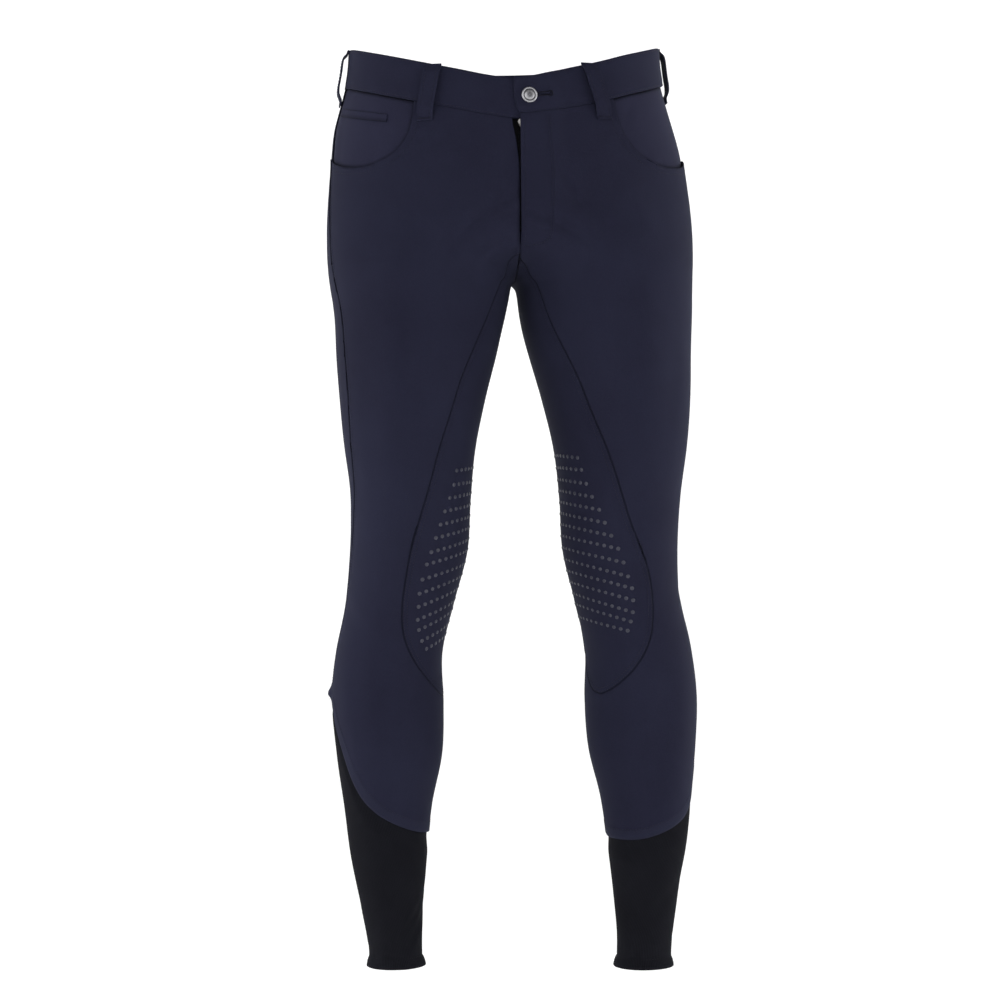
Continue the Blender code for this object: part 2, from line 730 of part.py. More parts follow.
def back(side, material, collection):
    """The back runs from the outseam to the centre seam and the inner panel and down to the hem."""
    scoop_end = SCOOP[-1][1]
    seam_turn = float(outseam(side, -0.0125))
    band = band_line(side, seam_turn, 270)
    centre = centre_line(band[-1, 1], GUSSET_BACK, behind=True)
    centre[0] = band[-1]
    line = back_line(side) + (360, 0)
    line[0] = centre[-1]
    inseam = inseam_line(side) + (360, 0)
    line[-1] = inseam[0]
    top_arch = arch(side)
    grid = patch(
        joined(
            spaced(side, outseam_line(side, band[0, 1], scoop_end), STEPS_SCOOP_DROP),
            spaced(side, outseam_line(side, scoop_end, KNEE_SPLIT), STEPS_CENTRE + STEPS_THIGH),
            spaced(side, outseam_line(side, KNEE_SPLIT, top_arch[1]), STEPS_CALF),
        ),
        joined(
            spaced(side, centre, STEPS_SCOOP_DROP + STEPS_CENTRE),
            spaced(side, line, STEPS_THIGH),
            spaced(side, inseam, STEPS_CALF),
        ),
        spaced(side, band, STEPS_BACK),
        spaced(side, hem_line(side, top_arch[0], inseam[-1, 0]), STEPS_BACK),
    )
    points = skin(side, grid[..., 0], grid[..., 1])
    return cloth_piece(f"back_{side_name(side)}", [points], side, material, collection)


def inner_panel(side, material, collection):
    """The grip panel lies along the inseam from the crotch to below the knee."""
    behind, ahead = back_line(side), front_line(side)
    foot = foot_line(side)
    levels_back = np.linspace(GUSSET_BACK, CROTCH, 60)
    levels_front = np.linspace(CROTCH, GUSSET_FRONT, 60)
    top = joined(
        np.stack([-turn_at(0, levels_back), levels_back], axis=-1),
        np.stack([turn_at(0, levels_front), levels_front], axis=-1),
    )
    behind[0], ahead[0] = top[0], top[-1]
    behind[-1], ahead[-1] = foot[-1], foot[0]
    grid = patch(
        spaced(side, behind, STEPS_THIGH),
        spaced(side, ahead, STEPS_THIGH),
        spaced(side, top, STEPS_INNER),
        spaced(side, foot[::-1], STEPS_INNER),
    )
    points = skin(side, grid[..., 0] % 360, grid[..., 1], front_lift(side, grid) * (grid[..., 0] > 0))
    return cloth_piece(f"inner_panel_{side_name(side)}", [points], side, material, collection)


def pocket_facing(side, material, collection):
    """The cloth seen inside the pocket's scoop, sewn on from behind."""
    start, end = 116 - 2 * side, float(outseam(side, -0.05)) + 2.5
    top = band_line(side, start, end)
    corner_front, corner_back = (start + 1.5, -0.119), (end, -0.108)
    grid = patch(
        spaced(side, straight(top[0], corner_front), 7),
        spaced(side, straight(top[-1], corner_back), 7),
        spaced(side, top, 9),
        spaced(side, straight(corner_front, corner_back), 9),
    )
    points = skin(side, grid[..., 0], grid[..., 1], -TUCK)
    return cloth_piece(f"pocket_facing_{side_name(side)}", [points], side, material, collection)


def coin_pocket_welt(material, collection):
    turns = np.linspace(WELT[0][0], WELT[-1][0], 9)
    levels = np.linspace(along(WELT, turns, 1), along(WELT, turns, 2), 3)
    wall = 0.0009
    points = skin(-1, turns[None], levels, -TUCK + SEAM_GAP + wall)
    return cloth_piece("coin_pocket_welt", [points], -1, material, collection, wall)


def band_lift(side, grid):
    """The left end rises over the right one."""
    if side < 0:
        return np.full(grid.shape[:2], BAND_PROUD)
    x = form(side, grid[..., 0], grid[..., 1])[..., 0]
    overlap = (1 - step((x - FLY_FLAT) / FLY_FADE)) * (grid[..., 0] < 180)
    return BAND_PROUD + (BAND_WALL + SEAM_GAP) * overlap


def band_height(side, turn, height):
    """The height above the seam, less where the left half narrows."""
    if side < 0:
        return height
    dip = BAND_DIP[0] * (1 - step((turn - 86) / 22)) + BAND_DIP[1] * np.exp(-(((turn - 176) / 12) ** 2))
    return height * (1 - dip / BAND_HEIGHT)


def waistband(side, material, collection):
    rows = np.linspace(0, BAND_HEIGHT, 5)[::-1]
    past = np.full(5, BAND_UNDERLAP) if side < 0 else along(BAND_EDGE, rows)
    lines = []
    for height, reach in zip(rows, past):
        level = float(band_seam(side, 90)) + height
        start, middle = float(turn_at(-reach, level)), float(turn_at(0.066, level))
        parts = []
        for a, b, steps in ((start, middle, 7), (middle, 270, 20)):
            turns = np.linspace(a, b, 200)
            levels = band_seam(side, turns) + band_height(side, turns, height)
            parts.append(spaced(side, np.stack([turns, levels], axis=-1), steps))
        lines.append(joined(*parts))
    grid = np.stack(lines)
    points = skin(side, grid[..., 0], grid[..., 1], band_lift(side, grid))
    return cloth_piece(f"waistband_{side_name(side)}", [points], side, material, collection, BAND_WALL)


def belt_loop(name, side, turns, bow, material, collection):
    """A strip whose two ends lie on the cloth and whose middle stands off it for a belt."""
    height, share, on_band = (np.array([row[i] for row in LOOP_ROWS])[:, None] for i in range(3))
    turn = np.interp(-height, (-LOOP_ROWS[0][0], -LOOP_ROWS[-1][0]), turns)
    level = band_seam(side, np.mean(turns)) + height
    lift = LOOP_END + bow * share + BAND_PROUD * on_band
    if turns[0] == 270:
        points = centred(np.linspace(-LOOP_WIDTH, LOOP_WIDTH, 4) / 2, level, lift, behind=True)
        side = -1
    else:
        reach = np.linalg.norm(form(side, turn[0] + 1, level[0]) - form(side, turn[0] - 1, level[0])) / 2
        turns = turn + np.linspace(-0.5, 0.5, 4) * LOOP_WIDTH / reach
        points = skin(side, turns, level, lift)
    return cloth_piece(name, [points], side, material, collection, LOOP_WALL)


def sock_cuff(side, material, collection):
    rows, columns = STEPS_CUFF
    turns = np.linspace(0, 360, columns + 1)[None]
    hem = hem_level(side, turns)
    share = np.linspace(0, 1, rows + 1)[:, None]
    share = 0.10 * share + 0.90 * share**1.15
    ankle = ANKLE - side * ANKLE_DROP
    level = (hem + CUFF_TUCK) * (1 - share) + ankle * share
    deep = 1 - step((hem - 0.003 - level) / CUFF_EASE)
    flare = step((ankle + 0.014 - level) / 0.014)
    lift = -TUCK * deep + CUFF_FLARE * flare
    points = skin(side, np.broadcast_to(turns, level.shape), level, lift)
    return cloth_piece(f"sock_cuff_{side_name(side)}", [points], side, material, collection, KNIT)


def zip_tape(material, collection):
    level = np.linspace(*TAPE_LEVELS, 15)[:, None]
    x = np.linspace(*TAPE_EDGES, 5)
    points = centred(x, level, -along(TAPE_DEEP, level))
    return cloth_piece("zip_tape", [points], 1, material, collection, TAPE_WALL)


def place_on(piece, x, level, lift):
    """Sets a piece on the front with its own Z pointing out of the cloth."""
    point, normal = centred(np.array([x]), np.array([level]), np.array([lift]))
    turned_out = Vector(normal[0]).to_track_quat("Z", "Y").to_matrix().to_4x4()
    piece.matrix_world = Matrix.Translation(Vector(point[0])) @ turned_out


def box(name, size, material, collection, bevel=0.0):
    mesh = bmesh.new()
    bmesh.ops.create_cube(mesh, size=1)
    bmesh.ops.scale(mesh, vec=size, verts=mesh.verts)
    piece = finish(name, mesh, material, collection)
    if bevel:
        rounding = piece.modifiers.new("Edges", "BEVEL")
        rounding.width = bevel
        rounding.segments = 2
    return piece


def cylinder(name, radius, depth, material, collection):
    mesh = bmesh.new()
    bmesh.ops.create_cone(
        mesh, cap_ends=True, segments=20, radius1=radius, radius2=radius, depth=depth
    )
    return finish(name, mesh, material, collection)


def cut(piece, cutter):
    cutter.hide_render = True
    cutter.display_type = "WIRE"
    boolean = piece.modifiers.new(cutter.name, "BOOLEAN")
    boolean.object = cutter
    boolean.operation = "DIFFERENCE"


def waist_button(material, collection):
    """A shank button: a domed face with a ring round it, on a shank that passes through the band."""
    mesh = bmesh.new()
    verts = [mesh.verts.new((radius, 0, height)) for radius, height in BUTTON_PROFILE]
    for a, b in zip(verts, verts[1:]):
        mesh.edges.new((a, b))
    button = finish("waist_button", mesh, material, collection)
    screw = button.modifiers.new("Turned", "SCREW")
    screw.steps = 28
    screw.render_steps = 28
    screw.use_merge_vertices = True
    screw.merge_threshold = 0.00001
    place_on(button, BUTTON_X, BUTTON_LEVEL, BAND_PROUD + BAND_WALL + 2 * SEAM_GAP)
    return button


def cut_buttonhole(band, cutters):
    """A hole for the shank, a slot beside it and the eye at the slot's far end."""
    shank = cylinder("shank_cutter", SHANK_RADIUS + SEAM_GAP, 0.02, None, cutters)
    slot = box("slot_cutter", (BUTTONHOLE_LENGTH, BUTTONHOLE_WIDTH, 0.02), None, cutters)
    eye = cylinder("eye_cutter", BUTTONHOLE_EYE, 0.02, None, cutters)
    for cutter, shift in ((shank, 0), (slot, BUTTONHOLE_LENGTH / 2), (eye, BUTTONHOLE_LENGTH)):
        place_on(cutter, BUTTON_X + shift, BUTTON_LEVEL + 0.11 * shift, 0.002)
        cut(band, cutter)


def zip_slider(material, collection, cutters):
    """The slider's body and the pull tab that hangs from it under the fly."""
    body = box("zip_slider", SLIDER_SIZE, material, collection, 0.0009)
    pull = box("pull_tab", PULL_SIZE, material, cutters, 0.0004)
    pull.hide_render = True
    pull.display_type = "WIRE"
    front_face = float(form(1, 90, SLIDER_LEVEL)[1])
    body.location = SLIDER_X, front_face + 0.00075, SLIDER_LEVEL
    pull.location = SLIDER_X + 0.0028, front_face - 0.0001, SLIDER_LEVEL - 0.0095
    union = body.modifiers.new("Pull", "BOOLEAN")
    union.operation = "UNION"
    union.object = pull
    return body


def main():
    for old in list(bpy.data.objects):
        bpy.data.objects.remove(old)
    garment = bpy.data.collections.new("riding_breeches")
    cutters = bpy.data.collections.new("cutters")
    for collection in (garment, cutters):
        bpy.context.scene.collection.children.link(collection)
    cutters.hide_render = True
    navy = principled("navy_stretch_cloth", NAVY, 0.75)
    knit = principled("black_rib_knit", BLACK_KNIT, 0.9)
    tape = principled("zip_tape_weave", BLACK_KNIT, 0.7)
    metal = principled("dull_nickel", GREY_METAL, 0.3, 1.0)
    for side in (-1, 1):
        front(side, navy, garment)
        back(side, navy, garment)
        inner_panel(side, navy, garment)
        pocket_facing(side, navy, garment)
        band = waistband(side, navy, garment)
        front_turns = LOOP_TURNS[side > 0]
        belt_loop(f"belt_loop_front_{side_name(side)}", side, front_turns, FRONT_BOW, navy, garment)
        belt_loop(f"belt_loop_side_{side_name(side)}", side, (180, 180), SIDE_BOW, navy, garment)
        sock_cuff(side, knit, garment)
    belt_loop("belt_loop_back", 1, (270, 270), BACK_BOW, navy, garment)
    coin_pocket_welt(navy, garment)
    zip_tape(tape, garment)
    zip_slider(metal, garment, cutters)
    waist_button(metal, garment)
    cut_buttonhole(band, cutters)


main()
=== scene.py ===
import json
import math

import bmesh
import bpy
import numpy as np
from mathutils import Matrix, Vector, kdtree

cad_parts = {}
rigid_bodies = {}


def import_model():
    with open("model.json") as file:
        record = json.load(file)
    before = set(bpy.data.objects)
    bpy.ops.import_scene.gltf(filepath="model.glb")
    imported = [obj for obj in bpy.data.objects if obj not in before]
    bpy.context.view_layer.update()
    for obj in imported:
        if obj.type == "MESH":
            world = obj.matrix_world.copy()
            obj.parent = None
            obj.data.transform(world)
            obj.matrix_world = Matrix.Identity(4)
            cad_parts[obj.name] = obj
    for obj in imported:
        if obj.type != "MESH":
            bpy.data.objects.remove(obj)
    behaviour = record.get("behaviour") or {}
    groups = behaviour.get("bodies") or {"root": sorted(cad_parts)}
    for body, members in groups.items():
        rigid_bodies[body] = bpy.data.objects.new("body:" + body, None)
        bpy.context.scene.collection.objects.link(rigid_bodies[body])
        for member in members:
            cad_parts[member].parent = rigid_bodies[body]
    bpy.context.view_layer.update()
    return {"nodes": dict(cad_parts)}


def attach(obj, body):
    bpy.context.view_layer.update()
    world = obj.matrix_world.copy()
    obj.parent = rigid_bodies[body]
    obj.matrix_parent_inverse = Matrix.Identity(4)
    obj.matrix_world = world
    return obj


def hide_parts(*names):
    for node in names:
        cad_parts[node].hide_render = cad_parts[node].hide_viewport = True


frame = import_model()
print("frame loaded:", len(frame["nodes"]), "solids")

mm = 0.001

worn = {  # level, outer, inner, front, back, side, square, fold: the oval of one half at that level
    "names": ("level", "outer", "inner", "front", "back", "side", "square", "fold"),
    "rows": (
        (0.045, 0.1690, -0.1690, -0.1080, 0.1080, 0.000, 0.020, 0.000),
        (0.000, 0.1730, -0.1730, -0.1125, 0.1140, 0.000, 0.020, 0.000),
        (-0.036, 0.1815, -0.1815, -0.1165, 0.1200, 0.002, 0.020, 0.000),
        (-0.060, 0.1870, -0.1870, -0.1185, 0.1245, 0.003, 0.020, 0.000),
        (-0.090, 0.1915, -0.1925, -0.1200, 0.1300, 0.001, 0.020, 0.000),
        (-0.121, 0.1960, -0.1940, -0.1210, 0.1350, -0.006, 0.020, 0.006),
        (-0.141, 0.1980, -0.1550, -0.1212, 0.1370, -0.010, 0.018, 0.022),
        (-0.161, 0.1990, -0.1000, -0.1215, 0.1375, -0.013, 0.015, 0.030),
        (-0.181, 0.1992, -0.0600, -0.1215, 0.1350, -0.017, 0.012, 0.026),
        (-0.201, 0.1986, -0.0240, -0.1215, 0.1300, -0.021, 0.010, 0.014),
        (-0.211, 0.1980, -0.0095, -0.1213, 0.1260, -0.023, 0.010, 0.008),
        (-0.221, 0.1973, -0.0032, -0.1210, 0.1215, -0.024, 0.010, 0.002),
        (-0.2275, 0.1969, 0.0004, -0.1207, 0.1187, -0.0246, 0.010, 0.000),
        (-0.230, 0.1967, 0.0027, -0.1206, 0.1176, -0.0248, 0.010, 0.000),
        (-0.235, 0.1964, 0.0043, -0.1204, 0.1155, -0.0252, 0.010, 0.000),
        (-0.243, 0.1958, 0.0058, -0.1200, 0.1120, -0.026, 0.010, 0.000),
        (-0.256, 0.1951, 0.0080, -0.1194, 0.1062, -0.0272, 0.010, 0.000),
        (-0.270, 0.1943, 0.0107, -0.1187, 0.1004, -0.0283, 0.010, 0.000),
        (-0.298, 0.1926, 0.0172, -0.1170, 0.0900, -0.030, 0.010, 0.000),
        (-0.353, 0.1900, 0.0320, -0.1110, 0.0740, -0.031, 0.010, 0.000),
        (-0.408, 0.1856, 0.0440, -0.1040, 0.0610, -0.032, 0.008, 0.000),
        (-0.463, 0.1800, 0.0496, -0.0960, 0.0510, -0.030, 0.006, 0.000),
        (-0.518, 0.1792, 0.0530, -0.0870, 0.0460, -0.022, 0.004, 0.000),
        (-0.573, 0.1835, 0.0668, -0.0760, 0.0490, -0.010, 0.004, 0.000),
        (-0.628, 0.1955, 0.0797, -0.0670, 0.0580, -0.002, 0.004, 0.000),
        (-0.683, 0.2018, 0.0790, -0.0610, 0.0670, 0.000, 0.004, 0.000),
        (-0.738, 0.1985, 0.0818, -0.0590, 0.0640, -0.004, 0.004, 0.000),
        (-0.793, 0.1914, 0.0940, -0.0560, 0.0530, -0.006, 0.004, 0.000),
        (-0.848, 0.1842, 0.1006, -0.0510, 0.0410, -0.009, 0.004, 0.000),
        (-0.903, 0.1742, 0.1058, -0.0470, 0.0310, -0.012, 0.004, 0.000),
        (-0.947, 0.1671, 0.1082, -0.0450, 0.0230, -0.015, 0.004, 0.000),
        (-0.985, 0.1655, 0.1066, -0.0450, 0.0230, -0.015, 0.004, 0.000),
    ),
}

twist = (
    (0.045, -2.0),
    (-0.200, -2.0),
    (-0.255, -3.2),
    (-0.320, -3.2),
    (-0.395, -1.4),
    (-0.440, 0.0),
    (-0.500, 1.0),
    (-0.545, 5.0),
    (-0.600, 6.0),
    (-0.660, 9.0),
    (-0.720, 12.0),
    (-0.800, 16.0),
    (-0.985, 18.0),
)  # level, degrees that the seams are turned

wider = (
    (0.045, 0.0000, 0.0000),
    (-0.030, 0.0006, 0.0000),
    (-0.055, 0.0016, 0.0015),
    (-0.085, 0.0008, 0.0042),
    (-0.130, -0.0006, 0.0028),
    (-0.175, 0.0000, 0.0026),
    (-0.2175, 0.0008, 0.0020),
    (-0.262, -0.0016, 0.0026),
    (-0.306, -0.0002, 0.0028),
    (-0.350, -0.0008, 0.0036),
    (-0.395, -0.0008, 0.0036),
    (-0.440, -0.0016, 0.0022),
    (-0.484, 0.0000, 0.0008),
    (-0.550, 0.0018, -0.0004),
    (-0.617, 0.0008, 0.0010),
    (-0.660, 0.0000, 0.0014),
    (-0.705, -0.0016, 0.0014),
    (-0.750, -0.0018, 0.0016),
    (-0.800, -0.0016, 0.0026),
    (-0.840, -0.0008, 0.0028),
    (-0.880, -0.0008, 0.0016),
    (-0.930, -0.0008, 0.0018),
    (-0.985, -0.0008, 0.0006),
)  # level, how much wider the right and the left side are
offCentre = (
    (0.045, 0.0),
    (-0.200, 0.0),
    (-0.215, 0.0010),
    (-0.2275, 0.0020),
    (-0.243, 0.0019),
    (-0.256, 0.0012),
    (-0.282, 0.0),
    (-0.310, 0.0),
    (-0.985, 0.0),
)  # level, how far the crotch lies over to the left
# level, how far the middle of the front is drawn over
sway = ((0.045, -0.0018), (-0.060, -0.0020), (-0.180, -0.0020), (-0.212, -0.0010), (-0.2275, 0.0))

bandSeam = (
    (80, -0.0586, -0.0540),
    (90, -0.0619, -0.0571),
    (100, -0.0580, -0.0533),
    (110, -0.0513, -0.0467),
    (120, -0.0447, -0.0392),
    (130, -0.0381, -0.0314),
    (140, -0.0318, -0.0250),
    (150, -0.0260, -0.0192),
    (160, -0.0206, -0.0141),
    (170, -0.0160, -0.0102),
    (180, -0.0132, -0.0083),
    (210, -0.0133, -0.0114),
    (240, -0.0165, -0.0162),
    (270, -0.0185, -0.0185),
    (280, -0.0186, -0.0186),
)  # turn, level of the seam under the waistband on the right and on the left

outseamRows = (
    (0.000, 178.0, 181.0),
    (-0.090, 177.0, 180.0),
    (-0.150, 172.0, 179.0),
    (-0.207, 167.5, 178.0),
    (-0.247, 162.5, 177.0),
    (-0.292, 158.5, 176.0),
    (-0.336, 156.5, 176.0),
    (-0.398, 158.5, 177.0),
    (-0.446, 163.0, 180.0),
    (-0.486, 168.0, 184.0),
    (-0.540, 174.0, 191.0),
    (-0.600, 179.0, 203.0),
    (-0.678, 186.0, 218.0),
)  # level, turn on the right, turn on the left

scoopRows = (
    (123.3, -0.0415),
    (123.2, -0.0580),
    (125.0, -0.0780),
    (129.5, -0.0940),
    (135.5, -0.1030),
    (143.5, -0.1075),
    (155.0, -0.1055),
    (167.0, -0.0985),
    (178.0, -0.0900),
)  # pocket edge from waistband to outseam

frontRows = (
    (38.6, -0.211),
    (34.0, -0.221),
    (34.6, -0.231),
    (36.8, -0.241),
    (43.0, -0.271),
    (55.0, -0.325),
    (62.0, -0.371),
    (70.0, -0.410),
    (78.5, -0.446),
    (88.0, -0.483),
    (97.0, -0.515),
    (101.0, -0.545),
    (100.0, -0.575),
    (93.0, -0.602),
    (82.0, -0.624),
    (69.0, -0.643),
    (54.0, -0.659),
    (38.0, -0.671),
    (24.0, -0.676),
)  # front line of the inner panel

kneeRows = (
    (24.0, -0.676), (50.0, -0.689), (85.0, -0.691), (125.0, -0.668), (180.0, -0.622),
)  # where the front's two meshes join below the knee

# rounded foot of the inner panel
footRows = ((24.0, -0.676), (12.0, -0.672), (0.0, -0.660), (-11.0, -0.643), (-20.0, -0.622))

backRows = (
    (-40.0, -0.245),
    (-42.0, -0.330),
    (-42.0, -0.410),
    (-40.0, -0.480),
    (-34.0, -0.550),
    (-26.0, -0.598),
    (-20.0, -0.622),
)  # back line of the inner panel

hemRows = (
    (0, -0.6780),
    (10, -0.6920),
    (23, -0.7220),
    (32, -0.7420),
    (42, -0.7650),
    (54, -0.7840),
    (74, -0.8020),
    (97, -0.8140),
    (120, -0.8220),
    (150, -0.8275),
    (180, -0.8285),
)  # degrees away from the outseam, level

flyLift = (
    (-0.040, 0.0036),
    (-0.062, 0.0036),
    (-0.090, 0.0030),
    (-0.130, 0.0022),
    (-0.178, 0.0020),
    (-0.204, 0.0000),
)  # level, how far the fly lifts the left front off the form

# level, how far the tape's outer face lies below the form
tapeDeep = ((-0.060, 0.0032), (-0.130, 0.0034), (-0.160, 0.0042), (-0.190, 0.0052))

rightEdge = (
    (-0.050, 0.0085),
    (-0.066, 0.0078),
    (-0.085, 0.0042),
    (-0.105, 0.0017),
    (-0.180, 0.0011),
    (-0.200, 0.0000),
)  # level, how far right of the middle the right front's edge lies

# height above the band's seam, how far past the middle the left waistband reaches
bandEdge = ((0.0, 0.0004), (0.0108, 0.0048), (0.0215, 0.0060), (0.0323, 0.0060), (0.0430, 0.0056))

loopRows = (
    (0.0415, 0.00, 1),
    (0.0385, 0.04, 1),
    (0.0335, 0.74, 1),
    (0.0270, 0.96, 1),
    (0.0170, 1.00, 1),
    (0.0070, 1.00, 1),
    (0.0000, 0.95, 1),
    (-0.0070, 0.68, 1),
    (-0.0135, 0.12, 0),
    (-0.0188, 0.00, 0),
)  # height above the band's seam, share of the loop's bow, 1 over the band and 0 over the panel

weltRows = (
    (135.5, -0.0532, -0.0618),
    (147.0, -0.0478, -0.0568),
    (160.0, -0.0418, -0.0506),
    (172.5, -0.0362, -0.0450),
)  # turn, level of the upper and the lower edge

cut = {  # what a user would change in the cut
    "cloth": 1.2 * mm,
    "tuck": 2.5 * mm,  # depth of a piece sewn on from behind
    "gusset": (-0.203, -0.205),  # front and back levels where the inner panel leaves the centre seam
    "crotch": -0.2275,
    "besideScoop": -0.112,
    "kneeSplit": -0.622,
    "hemDrop": 7 * mm,
    "bandHeight": 42.2 * mm,
    "bandWall": 2.6 * mm,
    "bandProud": 1.2 * mm,
    "underlap": 26 * mm,
    "hemRise": 0.35 * mm,
    "underBand": 0.5 * mm,  # how far a panel's top runs into the band's lower edge
    "bandDip": (4.4 * mm, 2.0 * mm),  # how much lower the left waistband's top is in front and at the side
    "flyFlat": 28 * mm,
    "flyFade": 22 * mm,
}


def smooth(places, values, at):  # a cubic through the values
    order = np.argsort(places)
    x, y = np.asarray(places, float)[order], np.asarray(values, float)[order]
    slope = np.gradient(y, x)
    at = np.clip(at, x[0], x[-1])
    i = np.clip(np.searchsorted(x, at) - 1, 0, len(x) - 2)
    h = x[i + 1] - x[i]
    t = (at - x[i]) / h
    return (
        (2 * t**3 - 3 * t**2 + 1) * y[i]
        + (t**3 - 2 * t**2 + t) * h * slope[i]
        + (3 * t**2 - 2 * t**3) * y[i + 1]
        + (t**3 - t**2) * h * slope[i + 1]
    )


def along(rows, at, column=1):
    return smooth([row[0] for row in rows], [row[column] for row in rows], at)


def section(name, level):
    return along(worn["rows"], level, worn["names"].index(name))


def step(x):
    x = np.clip(x, 0, 1)
    return x * x * (3 - 2 * x)


def turnAt(x, level):  # turn at which the front of one half lies x from the middle plane
    outer, inner, fold, square = (section(n, level) for n in ("outer", "inner", "fold", "square"))
    x = np.asarray(x)
    reach = np.sqrt(x**2 * (1 - (fold / outer) ** 2) + fold**2) * np.where(x < 0, -1, 1)
    want = np.clip(((outer + inner) / 2 - reach) / ((outer - inner) / 2), -1, 1)
    cosine = want
    for _ in range(8):
        cosine = want * (1 - square) / (1 + 3 * square - 4 * square * cosine**2)
    return np.where(want >= 1, 0.0, np.degrees(np.arccos(np.clip(cosine, -1, 1))))


def form(side, turn, level):  # the cloth's outer face
    turn, level = np.broadcast_arrays(np.asarray(turn, float), np.asarray(level, float))
    outer, inner, front, back, middle, square, fold = (section(n, level) for n in worn["names"][1:])
    angle = np.radians(turn)
    cosine = (np.cos(angle) - square * np.cos(3 * angle)) / (1 - square)
    sine = (np.sin(angle) + square * np.sin(3 * angle)) / (1 - square)
    reach = (outer + inner) / 2 - (outer - inner) / 2 * cosine
    x = np.sign(reach) * np.sqrt(np.maximum(reach**2 - fold**2, 0)) / np.sqrt(1 - (fold / outer) ** 2)
    x = side * (x + along(wider, level, 1 if side < 0 else 2) * step(-cosine))
    x = x + along(sway, level) * np.exp(-((x / 0.045) ** 2)) * np.maximum(sine, 0)
    x = x + along(offCentre, level) * step(cosine)
    y = middle - np.where(sine > 0, middle - front, back - middle) * sine
    return np.stack([x, y, level], axis=-1)


def outward(side, turn, level):
    across = form(side, turn + 0.5, level) - form(side, turn - 0.5, level)
    down = form(side, turn, level - 0.002) - form(side, turn, level + 0.002)
    normal = side * np.cross(down, across)
    return normal / np.linalg.norm(normal, axis=-1, keepdims=True)


